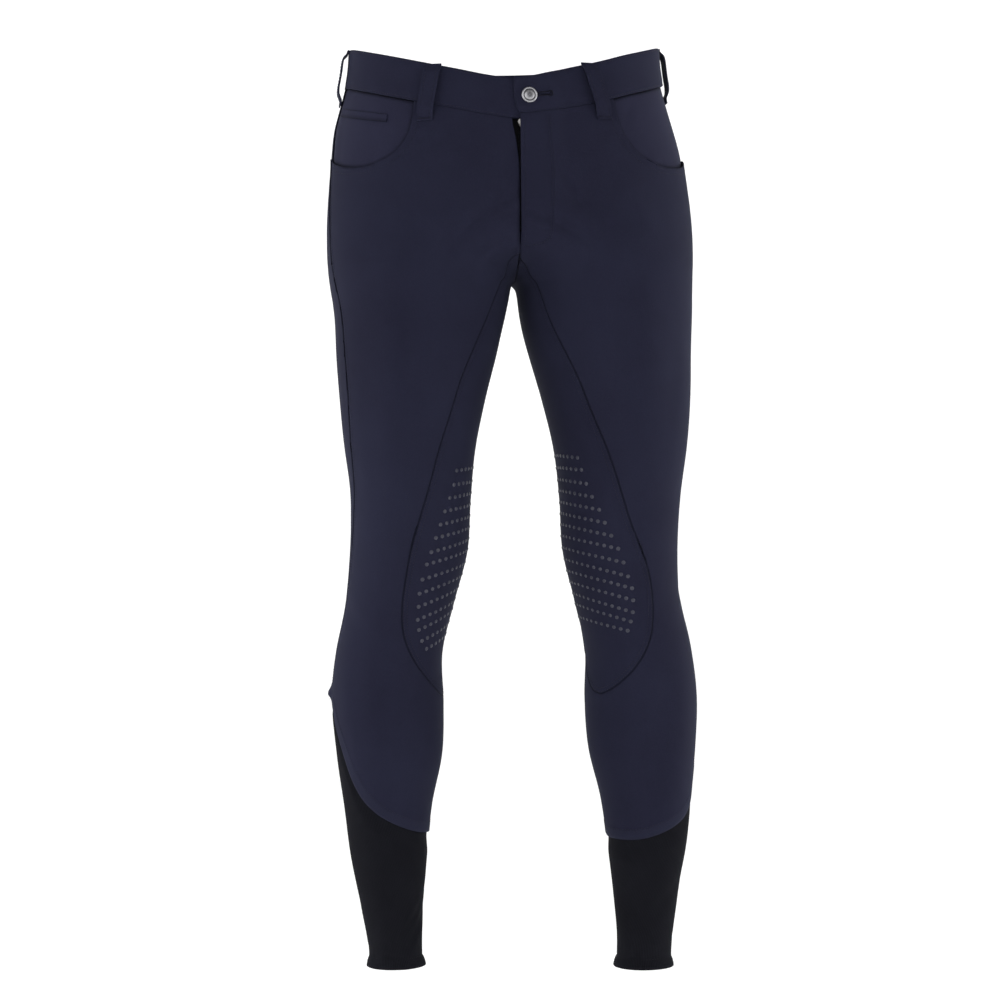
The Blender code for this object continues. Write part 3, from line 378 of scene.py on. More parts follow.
creaseNames = ("side", "turn", "level", "along", "across", "lean", "depth")
creases = (  # side 0 is both; lean in degrees from level; depth below 0 is a trough
    (-1, 86, -0.160, 0.060, 0.008, 88, 0.0016),
    (-1, 88, -0.178, 0.050, 0.008, 84, -0.0024),
    (1, 86, -0.176, 0.030, 0.010, 86, -0.0020),
    (0, 308, -0.246, 0.060, 0.010, 12, -0.0030),
    (0, 302, -0.270, 0.070, 0.012, 22, -0.0026),
    (0, 286, -0.300, 0.055, 0.014, 30, -0.0018),
    (0, 262, -0.530, 0.045, 0.010, 6, -0.0026),
    (0, 284, -0.556, 0.052, 0.010, -8, -0.0030),
    (0, 268, -0.584, 0.040, 0.011, 10, -0.0020),
    (-1, 42, -0.925, 0.040, 0.007, -52, -0.0020),
    (1, 118, -0.900, 0.034, 0.008, 40, -0.0014),
    (0, 255, -0.880, 0.040, 0.009, 18, -0.0018),
    # broad soft hollows and swells of the fronts, thighs and calves
    (-1, 116, -0.144, 0.034, 0.0150, 70, -0.0011),
    (-1, 106, -0.128, 0.030, 0.0130, 80, 0.0010),
    (-1, 98, -0.166, 0.040, 0.0140, 84, 0.0012),
    (1, 106, -0.140, 0.036, 0.0150, 76, -0.0009),
    (1, 122, -0.150, 0.034, 0.0160, 80, 0.0012),
    (-1, 112, -0.300, 0.095, 0.0160, 87, 0.0013),
    (-1, 96, -0.310, 0.090, 0.0130, 86, -0.0012),
    (1, 106, -0.296, 0.100, 0.0160, 86, 0.0014),
    (1, 88, -0.318, 0.092, 0.0140, 88, -0.0012),
    (1, 128, -0.340, 0.080, 0.0130, 84, -0.0010),
    (-1, 132, -0.380, 0.085, 0.0140, 88, -0.0011),
    (-1, 137, -0.710, 0.100, 0.0140, 84, 0.0013),
    (-1, 97, -0.705, 0.095, 0.0120, 88, -0.0017),
    (-1, 68, -0.716, 0.085, 0.0140, 88, 0.0011),
    (1, 128, -0.700, 0.090, 0.0140, 86, 0.0012),
    (1, 99, -0.722, 0.100, 0.0120, 84, -0.0015),
    (1, 64, -0.700, 0.080, 0.0130, 88, 0.0010),
    (0, 236, -0.330, 0.095, 0.0160, 86, 0.0012),
    (0, 254, -0.360, 0.090, 0.0140, 92, -0.0011),
    (-1, 250, -0.700, 0.085, 0.0150, 88, -0.0012),
    (1, 262, -0.690, 0.080, 0.0140, 84, -0.0011),
    # beside the fly and above the crotch
    (-1, 57, -0.204, 0.028, 0.0060, 88, 0.0013),
    (-1, 65, -0.206, 0.030, 0.0050, 87, -0.0016),
    (1, 84, -0.170, 0.022, 0.0060, 86, -0.0018),
    (-1, 60, -0.915, 0.045, 0.0060, -50, -0.0022),
    (-1, 73, -0.917, 0.045, 0.0060, -50, 0.0018),
    (-1, 84, -0.150, 0.045, 0.0045, 88, -0.0012),
    (1, 100, -0.150, 0.034, 0.0060, 84, -0.0013),
    (1, 97, -0.178, 0.022, 0.0070, 70, -0.0012),
    # soft pulls that fan from the crotch to the hips
    (-1, 66, -0.226, 0.050, 0.0080, 34, -0.0013),
    (-1, 92, -0.196, 0.048, 0.0100, 24, -0.0010),
    (-1, 104, -0.226, 0.055, 0.0120, 38, 0.0008),
    (1, 74, -0.214, 0.046, 0.0075, 40, -0.0014),
    (1, 100, -0.224, 0.052, 0.0110, 30, -0.0009),
    (1, 112, -0.190, 0.046, 0.0120, 22, 0.0007),
    # the pocket's pull and the loop beside it
    (1, 128, -0.0500, 0.013, 0.0022, 52, -0.0009),
    (1, 131, -0.0560, 0.012, 0.0024, 48, 0.0006),
    (1, 134, -0.0990, 0.008, 0.0016, 64, -0.0007),
    (1, 138, -0.1030, 0.008, 0.0017, 70, 0.0006),
    (1, 142, -0.1050, 0.009, 0.0018, 76, -0.0007),
    (-1, 130, -0.0900, 0.012, 0.0028, 60, -0.0005),
    # knees
    (-1, 118, -0.500, 0.040, 0.0110, -20, -0.0008),
    (1, 122, -0.470, 0.045, 0.0120, 24, -0.0008),
    (-1, 152, -0.585, 0.030, 0.0080, 30, -0.0009),
    (1, 150, -0.560, 0.032, 0.0080, -16, -0.0009),
    (0, 240, -0.548, 0.026, 0.0060, -18, -0.0014),
    (0, 296, -0.600, 0.030, 0.0070, 16, -0.0012),
    # calves
    (-1, 60, -0.722, 0.034, 0.0100, 48, -0.0007),
    (1, 70, -0.740, 0.038, 0.0100, -40, -0.0007),
    (0, 290, -0.760, 0.040, 0.0100, 34, -0.0009),
    # cuffs: the long diagonal fold, then short level ones over the rolled edge
    (-1, 60, -0.948, 0.034, 0.0035, -56, 0.0011),
    (-1, 100, -0.952, 0.020, 0.0026, 6, -0.0008),
    (1, 70, -0.962, 0.020, 0.0026, -6, -0.0009),
    (1, 110, -0.955, 0.016, 0.0024, 8, -0.0008),
    (0, 200, -0.948, 0.022, 0.0030, -10, -0.0009),
    (0, 280, -0.957, 0.020, 0.0028, 8, -0.0008),
)


def relief(side, turn, level):
    total = np.zeros(np.broadcast(turn, level).shape)
    for row in creases:
        crease = dict(zip(creaseNames, row))
        if crease["side"] not in (0, side):
            continue
        girth = (section("outer", crease["level"]) - section("inner", crease["level"])) / 2
        away = (np.asarray(turn) - crease["turn"] + 180) % 360 - 180
        right, up = np.radians(away) * girth, level - crease["level"]
        lean = math.radians(crease["lean"])
        s = (right * math.cos(lean) + up * math.sin(lean)) / crease["along"]
        t = (up * math.cos(lean) - right * math.sin(lean)) / crease["across"]
        total = total + crease["depth"] * np.exp(-(s**2) * 1.5 - t**2)
    return total


def skin(side, turn, level, lift=0.0):
    turn, level, lift = np.broadcast_arrays(np.asarray(turn, float), level, lift)
    normal = outward(side, turn, level)
    return form(side, turn, level) + (lift + relief(side, turn, level))[..., None] * normal, normal


def centred(x, level, lift, behind=False):  # by distance across the middle plane, with no creases
    x, level, lift = np.broadcast_arrays(np.asarray(x, float), level, lift)
    points, normals = np.empty(x.shape + (3,)), np.empty(x.shape + (3,))
    for side in (-1, 1):
        mine = x * side >= 0
        turn = turnAt(np.abs(x[mine]), level[mine])
        turn = 360 - turn if behind else turn
        normals[mine] = outward(side, turn, level[mine])
        points[mine] = form(side, turn, level[mine]) + lift[mine][:, None] * normals[mine]
    return points, normals


# ---------- seam lines, as arrays of (turn, level)


def sideName(side):
    return "left" if side > 0 else "right"


def twisted(side, turn, level):
    return turn + side * along(twist, level)


def outseam(side, level):
    return along(outseamRows, level, 1 if side < 0 else 2)


def hemLevel(side, turn):
    away = np.abs((turn - outseam(side, outseamRows[-1][0]) + 180) % 360 - 180)
    return along(hemRows, away) - side * cut["hemDrop"]


def curve(rows):
    rows = np.asarray(rows, float)
    at = np.linspace(0, len(rows) - 1, 16 * (len(rows) - 1) + 1)
    return np.stack([smooth(range(len(rows)), rows[:, i], at) for i in (0, 1)], axis=-1)


def spaced(side, line, steps):
    points = form(side, line[:, 0], line[:, 1])
    run = np.concatenate([[0], np.cumsum(np.linalg.norm(np.diff(points, axis=0), axis=1))])
    at = np.linspace(0, run[-1], steps + 1)
    return np.stack([np.interp(at, run, line[:, i]) for i in (0, 1)], axis=-1)


def joined(*lines):
    return np.concatenate([lines[0], *(line[1:] for line in lines[1:])])


def straight(a, b):
    return np.linspace(a, b, 40)


def turned(side, line):
    return np.stack([twisted(side, line[:, 0], line[:, 1]), line[:, 1]], axis=-1)


def bandSeamAt(side, turn):
    return along(bandSeam, turn, 1 if side < 0 else 2)


def bandHeight(side, turn, height):  # less where the left half narrows
    if side < 0:
        return height
    atEnd, atSide = cut["bandDip"]
    dip = atEnd * (1 - step((turn - 86) / 22)) + atSide * np.exp(-(((turn - 176) / 12) ** 2))
    return height * (1 - dip / cut["bandHeight"])


def bandLine(side, start, end, height=0.0):
    turns = np.linspace(start, end, 200)
    return np.stack([turns, bandSeamAt(side, turns) + bandHeight(side, turns, height)], axis=-1)


def centreLine(top, bottom, behind=False, edge=None):
    levels = np.linspace(top, bottom, 200)
    x = along(edge, levels) if edge else np.zeros(len(levels))
    turns = turnAt(x, levels)
    return np.stack([360 - turns if behind else turns, levels], axis=-1)


def outseamLine(side, top, bottom):
    levels = np.linspace(top, bottom, 120)
    return np.stack([outseam(side, levels), levels], axis=-1)


def scoopLine(side):
    line = turned(side, curve(scoopRows))
    line[-1] = outseam(side, scoopRows[-1][1]), scoopRows[-1][1]
    return line


def frontLine(side):
    top = cut["gusset"][0]
    start = [[float(turnAt(0, top)) - side * float(along(twist, top)), top]]
    return turned(side, curve(start + [list(row) for row in frontRows]))


def backLine(side):
    top = cut["gusset"][1]
    start = [[-float(turnAt(0, top)) - side * float(along(twist, top)), top]]
    return turned(side, curve(start + [list(row) for row in backRows]))


def footLine(side):
    return turned(side, curve(footRows))


def inseamLine(side):
    top = footRows[-1]
    foot = twisted(side, top[0], -0.83)
    return straight((twisted(side, *top), top[1]), (foot, float(hemLevel(side, foot))))


def hemLine(side, start, end):
    turns = np.linspace(start, end, 300)
    return np.stack([turns, hemLevel(side, turns)], axis=-1)


def arch(side):
    turn = outseam(side, outseamRows[-1][0])
    return float(turn), float(hemLevel(side, turn))


def aside(side, line, distance):  # the line moved sideways over the cloth, to its right as it runs
    points = form(side, line[:, 0], line[:, 1])
    run = np.gradient(points, axis=0)
    normal = outward(side, line[:, 0], line[:, 1])
    move = np.cross(run, normal)
    move *= distance / np.linalg.norm(move, axis=1, keepdims=True)
    byTurn = form(side, line[:, 0] + 0.5, line[:, 1]) - form(side, line[:, 0] - 0.5, line[:, 1])
    above, below = (form(side, line[:, 0], line[:, 1] + way * mm) for way in (1, -1))
    byLevel = (above - below) / (2 * mm)
    a, b, c = (byTurn**2).sum(1), (byTurn * byLevel).sum(1), (byLevel**2).sum(1)
    p, q = (byTurn * move).sum(1), (byLevel * move).sum(1)
    det = a * c - b * b
    return line + np.stack([(c * p - b * q) / det, (a * q - b * p) / det], axis=-1)


# ---------- meshes


def patch(left, right, top, bottom):  # a grid spanned by its four sides
    t = np.linspace(0, 1, len(left))[:, None, None]
    s = np.linspace(0, 1, len(top))[None, :, None]
    left, right, top, bottom = left[:, None], right[:, None], top[None], bottom[None]
    corners = (
        (1 - s) * (1 - t) * top[:, :1]
        + s * (1 - t) * top[:, -1:]
        + (1 - s) * t * bottom[:, :1]
        + s * t * bottom[:, -1:]
    )
    return (1 - s) * left + s * right + (1 - t) * top + t * bottom - corners


def tightened(grid, rows=(), columns=()):  # extra lines close to one of the grid's: (its index, to which side)
    for axis, places in enumerate((rows, columns)):
        last = grid.shape[axis] - 1
        extra = [index % (last + 1) + way * near for index, way in places for near in (0.16, 0.42)]
        at = np.sort(np.concatenate([np.arange(last + 1), extra]))
        low = np.clip(at.astype(int), 0, last - 1)
        share = (at - low).reshape((-1, 1, 1) if axis == 0 else (1, -1, 1))
        grid = np.take(grid, low, axis) * (1 - share) + np.take(grid, low + 1, axis) * share
    return grid


def dense(side, line, every=0.5 * mm):
    points = form(side, line[:, 0], line[:, 1])
    length = np.linalg.norm(np.diff(points, axis=0), axis=1).sum()
    line = spaced(side, line, int(length / every) + 2)
    return form(side, line[:, 0], line[:, 1])


def distanceTo(lines, points):
    spots = np.concatenate(lines) if lines else np.zeros((0, 3))
    if not len(spots):
        return np.full(points.shape[:-1], 0.1)
    tree = kdtree.KDTree(len(spots))
    for i, spot in enumerate(spots):
        tree.insert(spot, i)
    tree.balance()
    flat = points.reshape(-1, 3)
    away = np.array([tree.find(p)[2] for p in flat])
    return np.minimum(away, 0.1).reshape(points.shape[:-1])


seamShape = {"depth": 0.45 * mm, "reach": 1.05 * mm}  # a sewn seam sinks into the cloth


def clothGrid(side, grid, lift=0.0, seams=(), hems=(), hemRise=0.0, underBand=0.0):
    # points, directions, places on the cut, distances; a raised top edge runs into the band's lower edge
    turn, level = grid[..., 0], grid[..., 1]
    flat = form(side, turn, level)
    toSeam, toHem = distanceTo(seams, flat), distanceTo(hems, flat)
    sunk = -seamShape["depth"] * np.exp(-((toSeam / seamShape["reach"]) ** 2))
    raised = level + underBand * np.exp(-(((bandSeamAt(side, turn) - level) / (3 * mm)) ** 2))
    turnedUp = hemRise * (1 - step((toHem - 10.5 * mm) / (2.5 * mm)))
    points, normals = skin(side, turn, raised, lift + sunk + turnedUp)
    wide, deep = (section(a, level) - section(b, level) for a, b in (("outer", "inner"), ("back", "front")))
    radius = np.hypot(wide, deep) / 8**0.5
    across = np.radians(turn - outseam(side, level)) * radius
    return points, normals, np.stack([across, level], axis=-1), toSeam, toHem


def drawInEdges(mesh, outwardLayer, gap, wall):  # keeps pieces apart at a seam through their walls
    mesh.normal_update()
    moves = {}
    for vert in mesh.verts:
        if not vert.is_boundary:
            continue
        inward = []
        for edge in (e for e in vert.link_edges if e.is_boundary):
            run = (edge.other_vert(vert).co - vert.co).normalized()
            across = run.cross(vert[outwardLayer]).normalized()
            toFace = edge.link_faces[0].calc_center_median() - vert.co
            inward.append(across * math.copysign(1, across.dot(toFace)))
        both = (inward[0] + inward[1]) / max(0.3, 1 + inward[0].dot(inward[1]))
        lean = max(0, vert.normal.dot(both.normalized()))
        moves[vert] = both * (gap + lean * wall)
    for vert, move in moves.items():
        vert.co += move


flatAreas = {}


def finish(name, mesh, materials):
    data = bpy.data.meshes.new(name)
    mesh.to_mesh(data)
    mesh.free()
    return finishData(name, data, materials)


def finishData(name, data, materials):
    data.shade_smooth()
    for material in materials if isinstance(materials, (list, tuple)) else [materials]:
        data.materials.append(material)
    piece = bpy.data.objects.new(name, data)
    bpy.context.scene.collection.objects.link(piece)
    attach(piece, "root")
    return piece


def clothPiece(name, grids, side, material, wall=cut["cloth"], rounding=0.0):
    mesh = bmesh.new()
    outwardLayer = mesh.verts.layers.float_vector.new("outward")
    seamLayer, hemLayer = (mesh.verts.layers.float.new(n) for n in ("seamAway", "hemAway"))
    cutLayer = mesh.verts.layers.float_vector.new("cutPlace")
    for points, normals, places, toSeam, toHem in grids:
        rows, columns = points.shape[:2]
        verts = [[mesh.verts.new(p) for p in row] for row in points]
        for r in range(rows):
            for c in range(columns):
                vert = verts[r][c]
                vert[outwardLayer] = normals[r, c]
                vert[seamLayer], vert[hemLayer] = toSeam[r, c], toHem[r, c]
                vert[cutLayer] = (*places[r, c], 0)
        for r in range(rows - 1):
            for c in range(columns - 1):
                quad = [verts[r][c], verts[r + 1][c], verts[r + 1][c + 1], verts[r][c + 1]]
                mesh.faces.new(quad[::-1] if side < 0 else quad)
    bmesh.ops.remove_doubles(mesh, verts=mesh.verts, dist=1e-6)
    uv = mesh.loops.layers.uv.new("cut")
    for face in mesh.faces:
        for loop in face.loops:
            loop[uv].uv = loop.vert[cutLayer][:2]
    drawInEdges(mesh, outwardLayer, 0.15 * mm, wall)
    flatAreas[name] = sum(f.calc_area() for f in mesh.faces)
    for _ in range(2):  # the outward directions and the places on the cut have done their work
        mesh.verts.layers.float_vector.remove(mesh.verts.layers.float_vector[0])
    piece = finish(name, mesh, material)
    solidify = piece.modifiers.new("Wall", "SOLIDIFY")
    solidify.thickness = wall
    solidify.offset = -1
    if rounding:
        bevel = piece.modifiers.new("Rounded edges", "BEVEL")
        bevel.width = rounding
        bevel.segments = 3
        bevel.limit_method = "ANGLE"
        bevel.angle_limit = math.radians(50)
    return piece


thread = {"wide": 0.46 * mm, "high": 0.34 * mm, "length": 3.1 * mm, "cover": 0.8}


def stitches(
    name, spots, material, wide=thread["wide"], high=thread["high"], cover=thread["cover"]
):
    # spots: middles, runs and outward directions, drawn as spindles with sunk ends
    middles, runs, normals = (np.concatenate([s[i] for s in spots]) for i in range(3))
    along_ = runs / np.linalg.norm(runs, axis=1, keepdims=True)
    across = np.cross(normals, along_)
    half = np.linalg.norm(runs, axis=1, keepdims=True) / 2 * cover
    corners = []
    for share, size in ((-1, 0), (-0.55, 1), (0.55, 1), (1, 0)):
        base = middles + along_ * half * share
        if not size:
            corners.append((base - normals * high * 0.4)[:, None])
            continue
        top, foot = base + normals * high * 0.75, base - normals * high * 0.25
        ring = [top, base + across * wide / 2, foot, base - across * wide / 2]
        corners.append(np.stack(ring, axis=1))
    verts = np.concatenate(corners, axis=1)
    faces = []
    for i in range(4):
        j = (i + 1) % 4
        faces += [(0, 1 + j, 1 + i, -1), (1 + i, 1 + j, 5 + j, 5 + i), (9, 5 + i, 5 + j, -1)]
    count = len(verts)
    full = [tuple(k * 10 + v for v in face if v >= 0) for k in range(count) for face in faces]
    data = bpy.data.meshes.new(name)
    data.from_pydata(verts.reshape(-1, 3), [], full)
    return finishData(name, data, material)


def stitchRow(side, line, lift=0.0, length=thread["length"]):
    points = form(side, line[:, 0], line[:, 1])
    run = np.linalg.norm(np.diff(points, axis=0), axis=1).sum()
    marks = spaced(side, line, max(2, int(round(run / length))))
    height = lift(side, marks) if callable(lift) else lift
    on, normals = skin(side, marks[:, 0], marks[:, 1], height)
    return (on[1:] + on[:-1]) / 2, np.diff(on, axis=0), (normals[1:] + normals[:-1]) / 2


def part(line, start, end):  # the share of a line between two of its points
    at = np.linspace(start, end, 300) * (len(line) - 1)
    return np.stack([np.interp(at, np.arange(len(line)), line[:, i]) for i in (0, 1)], axis=-1)


# ---------- materials


def linear(code):  # sRGB hex to linear
    values = [int(code[i : i + 2], 16) / 255 for i in (1, 3, 5)]
    return [v / 12.92 if v <= 0.04045 else ((v + 0.055) / 1.055) ** 2.4 for v in values] + [1]


def add(tree, kind, inputs=None, **settings):  # one node with its settings and links
    node = tree.nodes.new("ShaderNode" + kind)
    for key, value in settings.items():
        setattr(node, key, value)
    for key, value in (inputs or {}).items():
        if isinstance(value, bpy.types.NodeSocket):
            tree.links.new(value, node.inputs[key])
        else:
            node.inputs[key].default_value = value
    return node


def started(name):
    material = bpy.data.materials.new(name)
    material.use_nodes = True
    tree = material.node_tree
    return material, tree, tree.nodes["Principled BSDF"]


def shaped(tree, value, fromMin, fromMax, toMin=0.0, toMax=1.0):
    ends = {"From Min": fromMin, "From Max": fromMax, "To Min": toMin, "To Max": toMax}
    return add(tree, "MapRange", {"Value": value, **ends}).outputs["Result"]


def sums(tree, operation, a, b):
    return add(tree, "Math", {0: a, 1: b}, operation=operation).outputs[0]


def mixed(tree, factor, low, high):
    node = tree.nodes.new("ShaderNodeMix")
    node.data_type = "RGBA"
    for index, value in ((0, factor), (6, low), (7, high)):
        if isinstance(value, bpy.types.NodeSocket):
            tree.links.new(value, node.inputs[index])
        else:
            node.inputs[index].default_value = value
    return node.outputs[2]


waveScale = 0.314  # at this scale a wave node makes one wave a metre, near enough
stretchTwill = {
    "base": "#1b1b2b",
    "worn": "#202132",
    # facing and facingWorn: painted light, the same navy drawn lighter for the pocket facings and the coin
    # pocket's welt, which tilt towards the lamps
    "facing": "#1f1f30",
    "facingWorn": "#252537",
    # seam: painted shade, the dark line that each seam's groove casts, and on the facings the shadow under the
    # pocket's rim
    "seam": "#0a0b12",
    "hem": "#2b2d3c",
    "rib": 1.5 * mm,  # a real twill line is 0.35 mm apart: drawn coarser so that it shows
    "roughness": 0.84,
    "sheen": 0.05,
    "seamShadeReach": 1.3 * mm,
    "rimShade": 4.5 * mm,  # how far the pocket's rim shades the facing under it
}


def noise(tree, place, scale, detail, roughness=0.5):
    inputs = {"Vector": place, "Scale": scale, "Detail": detail, "Roughness": roughness}
    return add(tree, "TexNoise", inputs).outputs["Fac"]


def ribs(tree, place, pitch, way, distortion=0.0):  # waves across the cut, a pitch apart
    inputs = {"Vector": place, "Scale": waveScale / pitch, "Distortion": distortion}
    return add(tree, "TexWave", inputs, bands_direction=way).outputs["Fac"]


def makeTwill(name, base, worn, seamShadeReach):
    # polyamide and elastane warp-knit twill with a peached face: matt, a faint bloom where light grazes it
    material, tree, shader = started(name)
    place = add(tree, "UVMap", uv_map="cut").outputs["UV"]
    body = add(tree, "TexCoord").outputs["Object"]
    broad = noise(tree, body, 7.0, 3.0, 0.55)
    fleck = noise(tree, body, 650.0, 2.0, 0.7)
    colour = mixed(tree, shaped(tree, broad, 0.3, 0.7), linear(base), linear(worn))
    colour = mixed(tree, shaped(tree, fleck, 0.35, 0.75, 0.0, 0.28), colour, linear("#2b2d3b"))
    toHem = add(tree, "Attribute", attribute_name="hemAway").outputs["Fac"]
    toSeam = add(tree, "Attribute", attribute_name="seamAway").outputs["Fac"]
    nearHem = shaped(tree, toHem, 11.2 * mm, 10.0 * mm, 0.0, 0.20)
    colour = mixed(tree, nearHem, colour, linear(stretchTwill["hem"]))
    # painted shade: the cloth darkens close to each seam, and on the facings under the pocket's rim
    seamShadeMask = shaped(tree, toSeam, seamShadeReach, 0.4 * mm, 0.0, 0.60)
    colour = mixed(tree, seamShadeMask, colour, linear(stretchTwill["seam"]))
    tree.links.new(colour, shader.inputs["Base Color"])
    rough = shaped(tree, fleck, 0.3, 0.7, stretchTwill["roughness"] - 0.05, stretchTwill["roughness"] + 0.06)
    tree.links.new(rough, shader.inputs["Roughness"])
    shader.inputs["IOR"].default_value = 1.5
    shader.inputs["Specular IOR Level"].default_value = 0.06
    shader.inputs["Sheen Weight"].default_value = stretchTwill["sheen"]
    shader.inputs["Sheen Roughness"].default_value = 0.45
    shader.inputs["Sheen Tint"].default_value = linear("#9aa0b4")
    lean = (0, 0, math.radians(58))
    turnedPlace = add(tree, "Mapping", {"Vector": place, "Rotation": lean}).outputs["Vector"]
    twill = add(
        tree,
        "TexWave",
        {
            "Vector": turnedPlace,
            "Scale": waveScale / stretchTwill["rib"],
            "Distortion": 0.6,
            "Detail": 1.0,
            "Detail Scale": 2.0,
        },
        bands_direction="X",
    ).outputs["Fac"]
    pucker = noise(tree, body, 120.0, 2.0)
    nearSeam = shaped(tree, toSeam, 9 * mm, 1 * mm, 0.0, 1.0)
    height = sums(tree, "ADD", sums(tree, "MULTIPLY", twill, 0.45), sums(tree, "MULTIPLY", fleck, 0.8))
    height = sums(tree, "ADD", height, sums(tree, "MULTIPLY", sums(tree, "MULTIPLY", pucker, nearSeam), 2.2))
    bump = add(tree, "Bump", {"Height": height, "Strength": 0.30, "Distance": 0.25 * mm})
    tree.links.new(bump.outputs["Normal"], shader.inputs["Normal"])
    return material


ribKnit = {"base": "#121217", "rise": "#1a1b20", "wale": 1.9 * mm, "course": 1.5 * mm, "roughness": 0.86}


def makeKnit():
    # elastic polyamide rib knit, near black: dull, with fine ribs that run down the leg
    # real wales are 1 mm apart: drawn wider so that they show
    material, tree, shader = started("blackPolyamideRibKnit")
    place = add(tree, "UVMap", uv_map="cut").outputs["UV"]
    body = add(tree, "TexCoord").outputs["Object"]
    wales = ribs(tree, place, ribKnit["wale"], "X", 0.4)
    courses = ribs(tree, place, ribKnit["course"], "Y", 0.8)
    fuzz = noise(tree, body, 480.0, 3.0)
    broad = noise(tree, body, 16.0, 2.0)
    colour = mixed(tree, shaped(tree, wales, 0.1, 0.9), linear(ribKnit["base"]), linear(ribKnit["rise"]))
    colour = mixed(tree, shaped(tree, fuzz, 0.4, 0.75, 0.0, 0.35), colour, linear("#17171d"))
    colour = mixed(tree, shaped(tree, broad, 0.3, 0.7, 0.0, 0.35), colour, linear("#09090d"))
    tree.links.new(colour, shader.inputs["Base Color"])
    shader.inputs["Roughness"].default_value = ribKnit["roughness"]
    shader.inputs["Specular IOR Level"].default_value = 0.04
    shader.inputs["Sheen Weight"].default_value = 0.0
    shader.inputs["Sheen Roughness"].default_value = 0.5
    height = sums(tree, "ADD", wales, sums(tree, "MULTIPLY", courses, 0.35))
    height = sums(tree, "ADD", height, sums(tree, "MULTIPLY", fuzz, 0.6))
    bump = add(tree, "Bump", {"Height": height, "Strength": 0.45, "Distance": 0.35 * mm})
    tree.links.new(bump.outputs["Normal"], shader.inputs["Normal"])
    return material


def makeSilicone():
    # clear silicone printed in domes: drawn opaque, in the greyed navy that the cloth under it gives
    material, tree, shader = started("printedSilicone")
    body = add(tree, "TexCoord").outputs["Object"]
    cloud = noise(tree, body, 260.0, 2.0)
    colour = mixed(tree, shaped(tree, cloud, 0.3, 0.7), linear("#282936"), linear("#383945"))
    tree.links.new(colour, shader.inputs["Base Color"])
    shader.inputs["Roughness"].default_value = 0.38
    shader.inputs["IOR"].default_value = 1.41
    bump = add(tree, "Bump", {"Height": cloud, "Strength": 0.2, "Distance": 0.1 * mm})
    tree.links.new(bump.outputs["Normal"], shader.inputs["Normal"])
    return material


def makeThread(name, low, high):
    # corespun polyester thread, twisted: a little glossier than the cloth it sews
    material, tree, shader = started(name)
    body = add(tree, "TexCoord").outputs["Object"]
    ply = noise(tree, body, 900.0, 1.0)
    colour = mixed(tree, shaped(tree, ply, 0.3, 0.7), linear(low), linear(high))
    tree.links.new(colour, shader.inputs["Base Color"])
    shader.inputs["Roughness"].default_value = 0.6
    shader.inputs["Specular IOR Level"].default_value = 0.12
    return material


def makeTape():
    # woven polyester zip tape: plain and dull, with fine slanted ribs; a dark tape drawn near black, so that it
    # also carries the painted shade in the gap beside the fly
    material, tree, shader = started("wovenPolyesterTape")
    place = add(tree, "UVMap", uv_map="cut").outputs["UV"]
    weave = ribs(tree, place, 1.2 * mm, "DIAGONAL")
    colour = mixed(tree, weave, linear("#030304"), linear("#08080c"))
    tree.links.new(colour, shader.inputs["Base Color"])
    shader.inputs["Roughness"].default_value = 0.7
    shader.inputs["Specular IOR Level"].default_value = 0.05
    bump = add(tree, "Bump", {"Height": weave, "Strength": 0.35, "Distance": 0.2 * mm})
    tree.links.new(bump.outputs["Normal"], shader.inputs["Normal"])
    return material


def makeNickel(name, low, high, polish, paintedShade=False):
    # pressed brass, nickel plated and barrel polished: bright, with faint clouding
    # paintedShade: painted shade and painted dark reflections in the ring and over the dome's middle, so that it
    # reads as a plain struck button
    material, tree, shader = started(name)
    body = add(tree, "TexCoord").outputs["Object"]
    cloud = noise(tree, body, 420.0, 4.0)
    colour = mixed(tree, cloud, linear(low), linear(high))
    if paintedShade:
        # painted shade: the dome's middle darkened for the emblem's shade, the ring darkened for the shade and
        # dark reflections in its groove
        flat = add(tree, "VectorMath", {0: body, 1: (1, 1, 0)}, operation="MULTIPLY").outputs[0]
        radius = add(tree, "VectorMath", {0: flat}, operation="LENGTH").outputs["Value"]
        colour = mixed(tree, shaped(tree, radius, 4.4 * mm, 2.2 * mm, 0.0, 0.75), colour, linear("#3a3a3f"))
        pastRim, beforeEdge = (shaped(tree, radius, a * mm, b * mm) for a, b in ((5.2, 5.6), (6.6, 6.2)))
        inRing = sums(tree, "MULTIPLY", pastRim, beforeEdge)
        colour = mixed(tree, sums(tree, "MULTIPLY", inRing, 0.85), colour, linear("#26262a"))
    tree.links.new(colour, shader.inputs["Base Color"])
    shader.inputs["Metallic"].default_value = 1.0
    tree.links.new(shaped(tree, cloud, 0.3, 0.7, polish, polish + 0.14), shader.inputs["Roughness"])
    bump = add(tree, "Bump", {"Height": cloud, "Strength": 0.12, "Distance": 0.05 * mm})
    tree.links.new(bump.outputs["Normal"], shader.inputs["Normal"])
    return material


navy = makeTwill(
    "navyPolyamideStretchTwill", stretchTwill["base"], stretchTwill["worn"], stretchTwill["seamShadeReach"]
)
# painted light: the same cloth drawn lighter, as the pocket facings take more light where they tilt outward
facingNavyPaintedLight = makeTwill(  # the same cloth, drawn a little lighter where the pockets open
    "navyTwillFacingPaintedLight", stretchTwill["facing"], stretchTwill["facingWorn"], stretchTwill["rimShade"]
)
knit = makeKnit()
silicone = makeSilicone()
navyThread = makeThread("navyPolyesterThread", "#101019", "#1b1b28")
blackThread = makeThread("blackPolyesterThread", "#0c0c10", "#17171d")
tapeWeave = makeTape()
nickel = makeNickel("nickelPlatedBrass", "#6c6b6b", "#8f8d8b", 0.20)
paintedShadeNickel = makeNickel("nickelPlateWithPaintedShade", "#8e8e92", "#b4b4b8", 0.22, paintedShade=True)
print("materials made")


